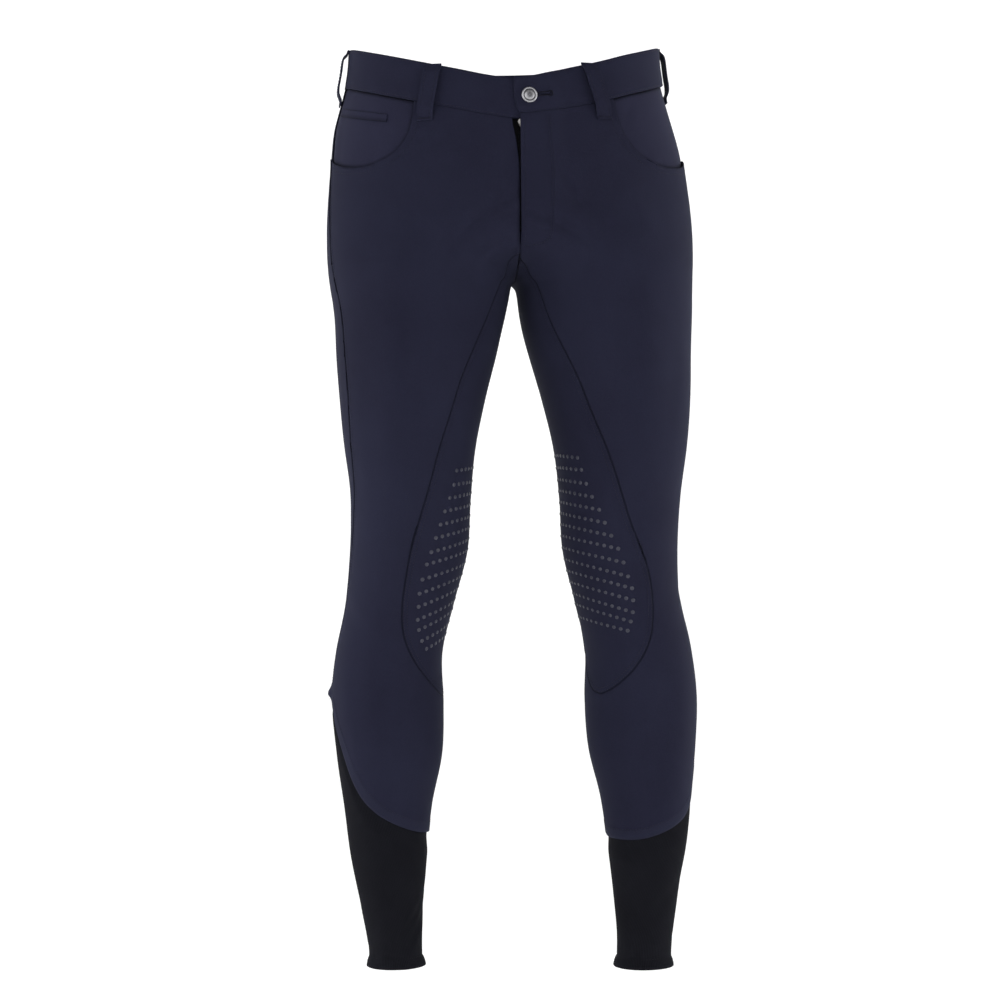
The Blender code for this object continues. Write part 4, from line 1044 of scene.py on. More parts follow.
# ---------- the panels

fine = 5  # grid steps for each one of the solids
steps = {
    "besideScoop": 4, "centre": 6, "thigh": 22, "calf": 9, "bandToScoop": 6,
    "scoop": 6, "back": 12, "inner": 8, "scoopDrop": 5,
}
steps = {name: count * fine for name, count in steps.items()}


def hemKick(side, grid):  # the seam stands out where the hem's arch ends
    turn, level = arch(side)
    away = ((grid[..., 0] - turn) * 1.2 * mm) ** 2 + (grid[..., 1] - level) ** 2
    return 4.0 * mm * np.exp(-away / (6.5 * mm) ** 2)


def frontLift(side, grid):  # the fly stands over the right front, which dips beside it
    x = np.abs(form(side, grid[..., 0], grid[..., 1])[..., 0])
    level = grid[..., 1]
    if side > 0:
        return along(flyLift, level) * (1 - step((x - cut["flyFlat"]) / cut["flyFade"]))
    return -0.3 * along(flyLift, level) * (1 - step(x / 0.020))


def makeFront(side):
    edge = rightEdge if side < 0 else None
    start = float(turnAt(rightEdge[0][1] if side < 0 else 0, -0.06))
    scoop = scoopLine(side)
    band = bandLine(side, start, scoop[0, 0])
    scoop[0] = band[-1]
    corner = len(scoop) * 5 // 9
    beside, under = scoop[: corner + 1], scoop[corner:]
    centre = centreLine(band[0, 1], cut["besideScoop"], edge=edge)
    centre[0] = band[0]
    lowerCentre = centreLine(cut["besideScoop"], cut["gusset"][0], edge=edge)
    lowerCentre[0] = centre[-1]
    acrossTop = straight(centre[-1], beside[-1])
    line, foot, inseam = frontLine(side), footLine(side), inseamLine(side)
    line[0] = lowerCentre[-1]
    line[-1] = foot[0]
    foot[-1] = inseam[0]
    split = float(outseam(side, cut["kneeSplit"])), cut["kneeSplit"]
    acrossKnee = turned(side, curve(kneeRows))
    acrossKnee[0], acrossKnee[-1] = line[-1], split
    top = arch(side)
    hem = hemLine(side, inseam[-1, 0], top[0])
    sewn = [band, line, foot, inseam, outseamLine(side, scoop[-1, 1], top[1])]
    sewn = [dense(side, s) for s in sewn]
    hems = [dense(side, hem)]
    besidePocket = patch(
        spaced(side, centre, steps["besideScoop"]),
        spaced(side, beside, steps["besideScoop"]),
        spaced(side, band, steps["bandToScoop"]),
        spaced(side, acrossTop, steps["bandToScoop"]),
    )
    thigh = patch(
        joined(spaced(side, lowerCentre, steps["centre"]), spaced(side, line, steps["thigh"])),
        spaced(side, outseamLine(side, scoop[-1, 1], cut["kneeSplit"]), steps["centre"] + steps["thigh"]),
        joined(spaced(side, acrossTop, steps["bandToScoop"]), spaced(side, under, steps["scoop"])),
        spaced(side, acrossKnee, steps["bandToScoop"] + steps["scoop"]),
    )
    calf = patch(
        spaced(side, inseam, steps["calf"]),
        spaced(side, outseamLine(side, cut["kneeSplit"], top[1]), steps["calf"]),
        joined(
            spaced(side, foot, steps["inner"])[::-1],
            spaced(side, acrossKnee, steps["bandToScoop"] + steps["scoop"]),
        ),
        spaced(side, hem, steps["inner"] + steps["bandToScoop"] + steps["scoop"]),
    )
    besidePocket = tightened(besidePocket, rows=[(0, 1)], columns=[(0, 1), (-1, -1)])
    thigh = tightened(thigh, columns=[(0, 1), (steps["bandToScoop"], -1), (-1, -1)])
    calf = tightened(calf, rows=[(0, 1)], columns=[(0, 1), (steps["inner"], 1), (-1, -1)])
    scoopSpots = dense(side, scoop)
    grids = []
    for grid in (besidePocket, thigh, calf):
        flat = form(side, grid[..., 0], grid[..., 1])
        edgeRise = 0.45 * mm * np.exp(-((distanceTo([scoopSpots], flat) / (4 * mm)) ** 2))
        lift = frontLift(side, grid) + edgeRise + hemKick(side, grid)
        grids.append(clothGrid(side, grid, lift, sewn, hems, cut["hemRise"], cut["underBand"]))
    piece = clothPiece(f"front_{sideName(side)}", grids, side, navy)
    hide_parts(f"front_{sideName(side)}")
    return piece, {"scoop": scoop, "line": line, "foot": foot, "hem": hem, "top": top, "band": band}


def makeBack(side):
    scoopEnd = scoopRows[-1][1]
    band = bandLine(side, float(outseam(side, -0.0125)), 270)
    centre = centreLine(band[-1, 1], cut["gusset"][1], behind=True)
    centre[0] = band[-1]
    line = backLine(side) + (360, 0)
    line[0] = centre[-1]
    inseam = inseamLine(side) + (360, 0)
    line[-1] = inseam[0]
    top = arch(side)
    hem = hemLine(side, top[0], inseam[-1, 0])
    sewn = [dense(side, s) for s in (band, centre, line, inseam, outseamLine(side, band[0, 1], top[1]))]
    grid = patch(
        joined(
            spaced(side, outseamLine(side, band[0, 1], scoopEnd), steps["scoopDrop"]),
            spaced(side, outseamLine(side, scoopEnd, cut["kneeSplit"]), steps["centre"] + steps["thigh"]),
            spaced(side, outseamLine(side, cut["kneeSplit"], top[1]), steps["calf"]),
        ),
        joined(
            spaced(side, centre, steps["scoopDrop"] + steps["centre"]),
            spaced(side, line, steps["thigh"]),
            spaced(side, inseam, steps["calf"]),
        ),
        spaced(side, band, steps["back"]),
        spaced(side, hem, steps["back"]),
    )
    grid = tightened(grid, rows=[(0, 1)], columns=[(0, 1), (-1, -1)])
    lift = hemKick(side, grid)
    cloth = clothGrid(side, grid, lift, sewn, [dense(side, hem)], cut["hemRise"], cut["underBand"])
    piece = clothPiece(f"back_{sideName(side)}", [cloth], side, navy)
    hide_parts(f"back_{sideName(side)}")
    return piece, {"band": band, "centre": centre, "line": line, "hem": hem}


def makeInner(side):
    behind, ahead, foot = backLine(side), frontLine(side), footLine(side)
    levelsBack = np.linspace(cut["gusset"][1], cut["crotch"], 60)
    levelsFront = np.linspace(cut["crotch"], cut["gusset"][0], 60)
    top = joined(
        np.stack([-turnAt(0, levelsBack), levelsBack], axis=-1),
        np.stack([turnAt(0, levelsFront), levelsFront], axis=-1),
    )
    behind[0], ahead[0] = top[0], top[-1]
    behind[-1], ahead[-1] = foot[-1], foot[0]
    grid = patch(
        spaced(side, behind, steps["thigh"]),
        spaced(side, ahead, steps["thigh"]),
        spaced(side, top, steps["inner"]),
        spaced(side, foot[::-1], steps["inner"]),
    )
    grid = tightened(grid, rows=[(0, 1), (-1, -1)], columns=[(0, 1), (-1, -1)])
    sewn = [dense(side, s) for s in (behind, ahead, foot, top)]
    lift = frontLift(side, grid) * (grid[..., 0] > 0)
    flat = clothGrid(side, grid, lift, sewn)
    piece = clothPiece(f"inner_panel_{sideName(side)}", [flat], side, navy)
    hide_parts(f"inner_panel_{sideName(side)}")
    return piece, {"behind": behind, "ahead": ahead, "foot": foot}


panels = {}
for side in (-1, 1):
    panels[side] = {"front": makeFront(side), "back": makeBack(side), "inner": makeInner(side)}
print("panels made", {n: round(a, 4) for n, a in flatAreas.items()})


# ---------- pockets, waistband and loops

pocket = {
    "loopTurn": 117.5, "deep": 3.1 * mm, "rise": 1.5 * mm, "facingSteps": (36, 44), "weltWall": 0.9 * mm,
    "weltOpen": 0.9 * mm,
    "facingFoot": (-0.119, -0.108),  # levels of the facing's lower corners, front and back
}


def makeFacing(side):
    start, end = pocket["loopTurn"] - 1.5 - 2 * side, float(outseam(side, -0.05)) + 2.5
    top = bandLine(side, start, end)
    frontCorner, backCorner = (start + 1.5, pocket["facingFoot"][0]), (end, pocket["facingFoot"][1])
    rows, columns = pocket["facingSteps"]
    grid = patch(
        spaced(side, straight(top[0], frontCorner), rows),
        spaced(side, straight(top[-1], backCorner), rows),
        spaced(side, top, columns),
        spaced(side, straight(frontCorner, backCorner), columns),
    )
    sewn = [top, outseamLine(side, -0.02, -0.09), panels[side]["front"][1]["scoop"]]
    sewn = [dense(side, line) for line in sewn]
    deep = -pocket["deep"] + pocket["rise"] * step((grid[..., 0] - end + 16) / 10)
    cloth = clothGrid(side, grid, deep, sewn, underBand=cut["underBand"])
    piece = clothPiece(f"pocket_facing_{sideName(side)}", [cloth], side, facingNavyPaintedLight)
    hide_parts(f"pocket_facing_{sideName(side)}")
    return piece


def weltLift(grid):  # the lower edge stands open a little
    shut = -pocket["deep"] + pocket["rise"] * step((grid[..., 0] - 166) / 10) + 0.3 * mm + pocket["weltWall"]
    return shut + pocket["weltOpen"] * np.linspace(0, 1, len(grid))[:, None] ** 3


def makeWelt():
    turns = np.linspace(weltRows[0][0], weltRows[-1][0], 40)
    upper, lower = (np.stack([turns, along(weltRows, turns, i)], axis=-1) for i in (1, 2))
    grid = np.linspace(upper, lower, 8)
    piece = clothPiece(
        "coin_pocket_welt",
        [clothGrid(-1, grid, weltLift(grid), [dense(-1, lower)])],
        -1,
        facingNavyPaintedLight,
        wall=pocket["weltWall"],
        rounding=0.25 * mm,
    )
    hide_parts("coin_pocket_welt")
    return upper, lower


band = {
    "rows": 14, "nearSteps": 40, "farSteps": 110,
    "button": (9.9 * mm, -0.0385), "holeLength": 21.6 * mm, "slot": 1.0 * mm, "holeSlope": 0.11,
    "drawn": 0.8 * mm, "drawnReach": 5.0 * mm,
}


def bandEdgeLift(side, grid):  # the lower edge is drawn down on the cloth by its seam
    height = grid[..., 1] - bandSeamAt(side, grid[..., 0])
    return cut["bandProud"] - band["drawn"] * np.exp(-((height / band["drawnReach"]) ** 2))


def bandLift(side, grid):
    if side < 0:
        return bandEdgeLift(side, grid)
    x = form(side, grid[..., 0], grid[..., 1])[..., 0]
    overlap = (1 - step((x - cut["flyFlat"]) / cut["flyFade"])) * (grid[..., 0] < 180)
    return bandEdgeLift(side, grid) + (cut["bandWall"] + 0.3 * mm) * overlap


def bandGrid(side, heights):
    past = np.full(len(heights), cut["underlap"]) if side < 0 else along(bandEdge, heights)
    lines = []
    for height, reach in zip(heights, past):
        level = float(bandSeamAt(side, 90)) + height
        start, middle = float(turnAt(-reach, level)), float(turnAt(0.066, level))
        parts = []
        for a, b, count in ((start, middle, band["nearSteps"]), (middle, 270, band["farSteps"])):
            parts.append(spaced(side, bandLine(side, a, b, height), count))
        lines.append(joined(*parts))
    return np.stack(lines)


def makeBand(side):
    grid = bandGrid(side, np.linspace(0, cut["bandHeight"], band["rows"] + 1)[::-1])
    piece = clothPiece(
        f"waistband_{sideName(side)}",
        [clothGrid(side, grid, bandLift(side, grid))],
        side,
        navy,
        wall=cut["bandWall"],
        rounding=0.7 * mm,
    )
    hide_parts(f"waistband_{sideName(side)}")
    return piece


loopShape = {"width": 17.5 * mm, "wall": 1.6 * mm, "end": 1.9 * mm, "rows": 60, "columns": 10}


def loopSurface(side, turns, bow, share, reach):  # share 0..1 from top to bottom, reach from the loop's middle
    at = share * (len(loopRows) - 1)
    height, bend, onBand = (smooth(range(len(loopRows)), [row[i] for row in loopRows], at) for i in range(3))
    level = bandSeamAt(side, np.mean(turns)) + height
    turn = np.interp(-height, (-loopRows[0][0], -loopRows[-1][0]), turns)
    lift = loopShape["end"] + bow * bend + cut["bandProud"] * np.clip(onBand, 0, 1)
    level, lift, reach, turn = np.broadcast_arrays(level, lift, reach, turn)
    if turns[0] == 270:
        return centred(reach, level, lift, behind=True)
    degree = np.linalg.norm(form(side, turn + 1, level) - form(side, turn - 1, level), axis=-1) / 2
    return skin(side, turn + reach / degree, level, lift)


def makeLoop(name, side, turns, bow):
    share = np.linspace(0, 1, loopShape["rows"])[:, None]
    reach = np.linspace(-0.5, 0.5, loopShape["columns"])[None] * loopShape["width"]
    points, normals = loopSurface(side, turns, bow, share, reach)
    if turns[0] == 270:
        side = -1
    places = np.stack(np.broadcast_arrays(reach, points[..., 2]), axis=-1)
    away = np.full(points.shape[:2], 0.1)
    grids = [(points, normals, places, away, away)]
    piece = clothPiece(name, grids, side, navy, wall=loopShape["wall"], rounding=0.45 * mm)
    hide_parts(name)
    return piece


def loopStitches(side, turns, bow):
    rows = []
    for reach in (-0.30, 0.30):
        share = np.linspace(0.02, 0.98, 22)
        points, normals = loopSurface(side, turns, bow, share, np.full(22, reach * loopShape["width"]))
        middles, outs = ((ends[1:] + ends[:-1]) / 2 for ends in (points, normals))
        rows.append((middles, np.diff(points, axis=0), outs))
    for share in (0.055, 0.945):  # bar tacks
        reach = np.linspace(-0.40, 0.40, 17) * loopShape["width"]
        upper, normals = loopSurface(side, turns, bow, np.full(17, share - 0.022), reach)
        lower, _ = loopSurface(side, turns, bow, np.full(17, share + 0.022), reach)
        rows.append(((upper + lower) / 2, lower - upper, normals))
    return rows


for side in (-1, 1):
    makeFacing(side)
welt = makeWelt()
bands = {side: makeBand(side) for side in (-1, 1)}
loops = [
    ("belt_loop_front_right", -1, (119.2, 120.3), 5.0 * mm),
    ("belt_loop_front_left", 1, (113.6, 116.8), 5.0 * mm),
    ("belt_loop_side_right", -1, (180, 180), 5.8 * mm),
    ("belt_loop_side_left", 1, (180, 180), 5.8 * mm),
    ("belt_loop_back", 1, (270, 270), 7.6 * mm),
]
loopThreads = []
for name, side, turns, bow in loops:
    makeLoop(name, side, turns, bow)
    loopThreads += loopStitches(side, turns, bow)
print("waistband, pockets and loops made")


# ---------- sock cuffs

cuff = {
    "rows": 66, "columns": 132, "wall": 1.2 * mm, "tuckUp": 14 * mm, "ease": 22 * mm,
    "flare": 3.0 * mm, "flareReach": 14 * mm, "ankle": -0.9715, "ankleDrop": 6 * mm,
    "roll": 11 * mm, "rollLift": 0.35 * mm, "stitchDraw": 0.9 * mm,
}


def cuffLift(side, turn, level):
    hem = hemLevel(side, turn)
    ankle = cuff["ankle"] - side * cuff["ankleDrop"]
    deep = 1 - step((hem - 3 * mm - level) / cuff["ease"])
    flare = step((ankle + cuff["flareReach"] - level) / cuff["flareReach"])
    rolled = step((ankle + cuff["roll"] + 1.2 * mm - level) / (1.6 * mm))
    stitched = np.exp(-(((level - ankle - cuff["roll"]) / (1.2 * mm)) ** 2))
    edge = cuff["flare"] * flare + cuff["rollLift"] * rolled - cuff["stitchDraw"] * stitched
    return -cut["tuck"] * deep + edge


def makeCuff(side):
    turns = np.linspace(0, 360, cuff["columns"] + 1)[None]
    hem = hemLevel(side, turns)
    ankle = cuff["ankle"] - side * cuff["ankleDrop"]
    share = np.linspace(0, 1, cuff["rows"] + 1)[:, None]
    share = 0.10 * share + 0.90 * share**1.15
    level = (hem + cuff["tuckUp"]) * (1 - share) + ankle * share
    grid = np.stack([np.broadcast_to(turns, level.shape), level], axis=-1)
    points = clothGrid(side, grid, cuffLift(side, grid[..., 0], level))
    piece = clothPiece(f"sock_cuff_{sideName(side)}", [points], side, knit, cuff["wall"])
    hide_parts(f"sock_cuff_{sideName(side)}")
    return ankle


ankles = {side: makeCuff(side) for side in (-1, 1)}
print("cuffs made")


# ---------- fly, zip and button

zipShape = {
    "tapeWall": 0.9 * mm, "tape": (-14 * mm, 16 * mm), "levels": (-0.0625, -0.182),
    "teeth": (-0.0755, -0.1800), "tooth": 1.4 * mm, "toothWide": 2.9 * mm, "toothApart": 1.1 * mm,
    "centre": 0.6 * mm,
    "slider": (0.7 * mm, -0.0668), "lean": -13,
}


def makeTapePiece():
    level = np.linspace(*zipShape["levels"], 60)[:, None]
    x = np.linspace(*zipShape["tape"], 16)
    points, normals = centred(x, level, -along(tapeDeep, level))
    places = np.stack(np.broadcast_arrays(x, level), axis=-1)
    away = np.full(points.shape[:2], 0.1)
    grids = [(points, normals, places, away, away)]
    piece = clothPiece("zip_tape", grids, 1, tapeWeave, zipShape["tapeWall"])
    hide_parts("zip_tape")
    return piece


def makeTeeth():
    levels = np.arange(*zipShape["teeth"], -zipShape["tooth"])
    spots = []
    for way in (-1, 1):
        shift = zipShape["tooth"] / 2 * (way > 0)
        x = np.full(len(levels), zipShape["centre"] + way * zipShape["toothApart"])
        points, normals = centred(x, levels - shift, -along(tapeDeep, levels) + 0.35 * mm)
        spots.append((points, np.tile([zipShape["toothWide"], 0, 0], (len(levels), 1)), normals))
    coil = makeThread("moulded_polyamide_coil", "#101017", "#1b1c25")
    return stitches("zip_teeth", spots, coil, 0.8 * mm, 0.7 * mm, 1.0)


def plate(mesh, outline, low, high, matrix):  # a flat outline given thickness
    rings = [[mesh.verts.new(matrix @ Vector((x, z, y))) for x, y in outline] for z in (low, high)]
    count = len(outline)
    for i in range(count):
        j = (i + 1) % count
        mesh.faces.new([rings[0][i], rings[0][j], rings[1][j], rings[1][i]])
    mesh.faces.new(rings[0][::-1])
    mesh.faces.new(rings[1])


def squaredOval(wide, high, squareX, squareY, shift=0.0):
    points = []
    for i in range(24):
        angle = i / 24 * 2 * math.pi
        bx, by = math.cos(angle), math.sin(angle)
        x = wide * math.copysign(abs(bx) ** squareX, bx)
        points.append((x, shift + high * math.copysign(abs(by) ** squareY, by)))
    return points


def makeSlider():
    mesh = bmesh.new()
    x, level = zipShape["slider"]
    faceY = float(form(1, 90, level)[1])
    lean = Matrix.Rotation(math.radians(zipShape["lean"]), 4, "Y")
    home = Matrix.Translation((x, faceY + 0.75 * mm, level)) @ lean
    half = [(3.0, 4.2), (4.3, 2.4), (4.3, -0.6), (2.8, -4.2)]
    shield = [(-3.0, 4.2)] + half + [(-2.8, -4.2), (-4.3, -0.6), (-4.3, 2.4)]
    shield = [(a * mm, b * mm) for a, b in shield]
    for low, high in ((-2.1, -1.1), (1.1, 2.1)):
        plate(mesh, shield, low * mm, high * mm, home)
    post = [(a * mm, b * mm) for a, b in ((-1.2, 3.9), (1.2, 3.9), (1.2, 1.6), (-1.2, 1.6))]
    plate(mesh, post, -1.2 * mm, 1.2 * mm, home)
    bridge = [(-1.1, 3.4), (1.1, 3.4), (1.1, -3.2), (-1.1, -3.2)]
    plate(mesh, [(a * mm, b * mm) for a, b in bridge], -2.15 * mm, -2.0 * mm, home)
    tabHome = Matrix.Translation((x + 2.8 * mm, faceY - 0.1 * mm, level - 9.5 * mm))
    tab = squaredOval(2.3 * mm, 7.5 * mm, 0.45, 0.75)
    hole = squaredOval(1.1 * mm, 3.2 * mm, 0.6, 0.7, -2.0 * mm)
    rings = []
    for outline in (tab, hole):
        for z in (-0.55 * mm, 0.55 * mm):
            rings.append([mesh.verts.new(tabHome @ Vector((a, z, b))) for a, b in outline])
    for i in range(24):
        j = (i + 1) % 24
        mesh.faces.new([rings[0][i], rings[0][j], rings[1][j], rings[1][i]])
        mesh.faces.new([rings[3][i], rings[3][j], rings[2][j], rings[2][i]])
        mesh.faces.new([rings[0][j], rings[0][i], rings[2][i], rings[2][j]])
        mesh.faces.new([rings[1][i], rings[1][j], rings[3][j], rings[3][i]])
    bmesh.ops.recalc_face_normals(mesh, faces=mesh.faces)
    piece = finish("zip_slider_detailed", mesh, nickel)
    bevel = piece.modifiers.new("Tumbled edges", "BEVEL")
    bevel.width = 0.22 * mm
    bevel.segments = 3
    bevel.limit_method = "ANGLE"
    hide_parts("zip_slider")
    return piece


button = {
    "profile": (
        (0.0, 2.45), (1.6, 2.42), (3.2, 2.28), (4.6, 2.00), (5.3, 1.70), (5.6, 1.30), (5.9, 1.15), (6.2, 1.30),
        (6.45, 1.80), (6.9, 2.05), (7.4, 2.06), (7.9, 1.82), (8.25, 1.48), (8.45, 1.05), (8.40, 0.62), (8.1, 0.28),
        (7.6, 0.08), (7.0, 0.0), (2.5, 0.0), (2.5, -2.7), (0.0, -2.7),
    ),  # radius, height: a domed face in a rolled rim
    "turns": 72,
}


def placeOn(piece, x, level, lift):
    point, normal = centred(np.array([x]), np.array([level]), np.array([lift]))
    out = Vector(normal[0]).to_track_quat("Z", "Y").to_matrix().to_4x4()
    piece.matrix_world = Matrix.Translation(Vector(point[0])) @ out


def makeButton():
    mesh = bmesh.new()
    rings = []
    for radius, height in button["profile"]:
        if radius == 0:
            rings.append([mesh.verts.new((0, 0, height * mm))])
            continue
        angles = np.linspace(0, 2 * math.pi, button["turns"], endpoint=False)
        places = [(radius * mm * math.cos(a), radius * mm * math.sin(a), height * mm) for a in angles]
        rings.append([mesh.verts.new(place) for place in places])
    for upper, lower in zip(rings, rings[1:]):
        for i in range(button["turns"]):
            j = (i + 1) % button["turns"]
            a, b = (upper[i % len(upper)], upper[j % len(upper)])
            c, d = (lower[j % len(lower)], lower[i % len(lower)])
            mesh.faces.new([v for k, v in enumerate((a, b, c, d)) if v not in (a, b, c, d)[:k]])
    bmesh.ops.recalc_face_normals(mesh, faces=mesh.faces)
    piece = finish("waist_button_turned", mesh, paintedShadeNickel)
    placeOn(piece, *band["button"], cut["bandProud"] + cut["bandWall"] + 0.6 * mm)
    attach(piece, "root")
    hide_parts("waist_button")
    return piece


def cutButtonhole(piece):
    shank = bmesh.new()
    bmesh.ops.create_cone(shank, cap_ends=True, segments=32, radius1=2.8 * mm, radius2=2.8 * mm, depth=0.02)
    eye = bmesh.new()
    bmesh.ops.create_cone(eye, cap_ends=True, segments=24, radius1=0.9 * mm, radius2=0.9 * mm, depth=0.02)
    slot = bmesh.new()
    bmesh.ops.create_cube(slot, size=1)
    bmesh.ops.scale(slot, vec=(band["holeLength"], band["slot"], 0.02), verts=slot.verts)
    x, level = band["button"]
    for mesh, shift in ((shank, 0), (slot, band["holeLength"] / 2), (eye, band["holeLength"])):
        data = bpy.data.meshes.new("cutter")
        mesh.to_mesh(data)
        mesh.free()
        cutter = bpy.data.objects.new("cutter", data)
        bpy.context.scene.collection.objects.link(cutter)
        placeOn(cutter, x + shift, level + band["holeSlope"] * shift, 2 * mm)
        boolean = piece.modifiers.new("Buttonhole", "BOOLEAN")
        boolean.object = cutter
        boolean.operation = "DIFFERENCE"
        bpy.context.view_layer.objects.active = piece
        piece.select_set(True)
    for modifier in list(piece.modifiers):
        with bpy.context.temp_override(object=piece, active_object=piece):
            bpy.ops.object.modifier_apply(modifier=modifier.name)
    for cutter in [o for o in bpy.data.objects if o.name.startswith("cutter")]:
        bpy.data.objects.remove(cutter)


def buttonholeStitches():
    x, level = band["button"]
    length, slope = band["holeLength"], band["holeSlope"]
    lift = cut["bandProud"] + cut["bandWall"] + 0.35 * mm
    rows = []
    shifts = np.arange(3.4 * mm, length - 1.2 * mm, 0.62 * mm)
    for way in (-1, 1):
        low = np.full(len(shifts), lift - 0.1 * mm)
        inner = centred(x + shifts, level + slope * shifts + way * 0.75 * mm, low)
        outer = centred(x + shifts, level + slope * shifts + way * 2.7 * mm, np.full(len(shifts), lift))
        rows.append(((inner[0] + outer[0]) / 2, outer[0] - inner[0], outer[1]))
    angles = np.radians(np.linspace(-130, 130, 19))
    cx, cz = x + length, level + slope * length
    low = np.full(19, lift - 0.1 * mm)
    inner = centred(cx + 1.6 * mm * np.cos(angles), cz + 1.6 * mm * np.sin(angles), low)
    outer = centred(cx + 3.5 * mm * np.cos(angles), cz + 3.5 * mm * np.sin(angles), np.full(19, lift))
    rows.append(((inner[0] + outer[0]) / 2, outer[0] - inner[0], outer[1]))
    return rows


makeTapePiece()
makeTeeth()
makeSlider()
makeButton()
cutButtonhole(bands[1])
print("fly, zip and button made")


# ---------- silicone grip

gripRows = {
    -1: (
        (50, -0.431, 3.8), (52.5, -0.446, 4.3), (57, -0.460, 5.9), (62, -0.474, 7.6), (66.5, -0.488, 9.3),
        (71, -0.502, 11.1), (74.5, -0.517, 13.6), (77.5, -0.530, 15.0), (79, -0.546, 17.0), (79, -0.561, 19.0),
        (77, -0.575, 19.6), (74.5, -0.589, 20.5), (70, -0.600, 20.8), (63, -0.612, 18.6), (54.5, -0.621, 14.7),
    ),
    1: (
        (39.5, -0.419, 3.5), (43, -0.432, 3.4), (47.5, -0.447, 5.6), (53, -0.461, 7.4), (60, -0.475, 8.8),
        (65.5, -0.489, 10.6), (71.5, -0.503, 12.6), (77.5, -0.517, 14.2), (81, -0.532, 16.0), (83.5, -0.547, 18.4),
        (85.5, -0.560, 18.8), (84.5, -0.573, 19.4), (81.5, -0.586, 19.6), (77, -0.596, 17.6), (71.5, -0.606, 13.4),
    ),
}  # turn and level of a row's outer dot, and how far the row has risen at the inseam in mm

dot = {"radius": 2.25 * mm, "least": 1.6 * mm, "height": 0.55 * mm, "pitch": 7.8 * mm, "sides": 14}


def makeGrip(side):
    middles, outs, radii = [], [], []
    backTurns, backLevels = np.array(backRows)[::-1].T
    for outer, level, rise in gripRows[side]:
        turns = np.linspace(outer, -75, 400)
        levels = level + rise * mm * (1 - np.abs(turns / outer) ** 1.5)
        line = np.stack([turns, levels], axis=-1)
        back = twisted(side, np.interp(levels, backLevels, backTurns), levels)
        line = line[turns > back + 6.5]
        points = form(side, line[:, 0], line[:, 1])
        run = np.concatenate([[0], np.cumsum(np.linalg.norm(np.diff(points, axis=0), axis=1))])
        at = np.arange(0, run[-1], dot["pitch"])
        marks = np.stack([np.interp(at, run, line[:, i]) for i in (0, 1)], axis=-1)
        on, normals = skin(side, marks[:, 0], marks[:, 1], 0.0)
        middles.append(on)
        outs.append(normals)
        radii.append(dot["radius"] - (dot["radius"] - dot["least"]) * np.clip(at / run[-1] * 1.6, 0, 1))
    middles, outs, radii = np.concatenate(middles), np.concatenate(outs), np.concatenate(radii)
    up = np.cross(outs, np.cross([0.0, 0.0, 1.0], outs))
    up /= np.linalg.norm(up, axis=1, keepdims=True)
    right = np.cross(up, outs)
    angles = np.linspace(0, 2 * math.pi, dot["sides"], endpoint=False)
    layers = []
    for share, high in ((1.0, -0.15), (0.94, 0.35), (0.70, 0.78), (0.36, 0.97)):
        ring = np.cos(angles)[None, :, None] * right[:, None] + np.sin(angles)[None, :, None] * up[:, None]
        risen = outs[:, None] * dot["height"] * high
        layers.append(middles[:, None] + ring * radii[:, None, None] * share + risen)
    layers.append((middles + outs * dot["height"])[:, None])
    verts = np.concatenate(layers, axis=1)
    n = dot["sides"]
    faces = []
    for layer in range(3):
        low, high = layer * n, (layer + 1) * n
        faces += [(low + i, low + (i + 1) % n, high + (i + 1) % n, high + i) for i in range(n)]
    faces += [(3 * n + i, 3 * n + (i + 1) % n, 4 * n) for i in range(n)]
    total = verts.shape[1]
    full = [tuple(k * total + v for v in face) for k in range(len(verts)) for face in faces]
    data = bpy.data.meshes.new(f"silicone_grip_{sideName(side)}")
    data.from_pydata(verts.reshape(-1, 3), [], full)
    mesh = bmesh.new()
    mesh.from_mesh(data)
    bmesh.ops.recalc_face_normals(mesh, faces=mesh.faces)
    mesh.to_mesh(data)
    mesh.free()
    return finishData(f"silicone_grip_{sideName(side)}", data, silicone), len(middles)


for side in (-1, 1):
    print("silicone dots", sideName(side), makeGrip(side)[1])


# ---------- topstitching

jStitch = (
    (30.6, -0.0600), (32.0, -0.0840), (34.2, -0.1150), (34.2, -0.1390), (32.8, -0.1580),
    (33.2, -0.1770), (30.3, -0.1880), (20.3, -0.1930), (3.0, -0.1950),
)  # x in mm, level, on the wearer's left beside the fly


def byX(rows, shift=0.0):
    rows = curve(rows)
    x = (rows[:, 0] + shift) * mm
    return np.stack([turnAt(x, rows[:, 1]), rows[:, 1]], axis=-1)


def bandRow(side, height):
    return bandGrid(side, np.array([height]))[0]


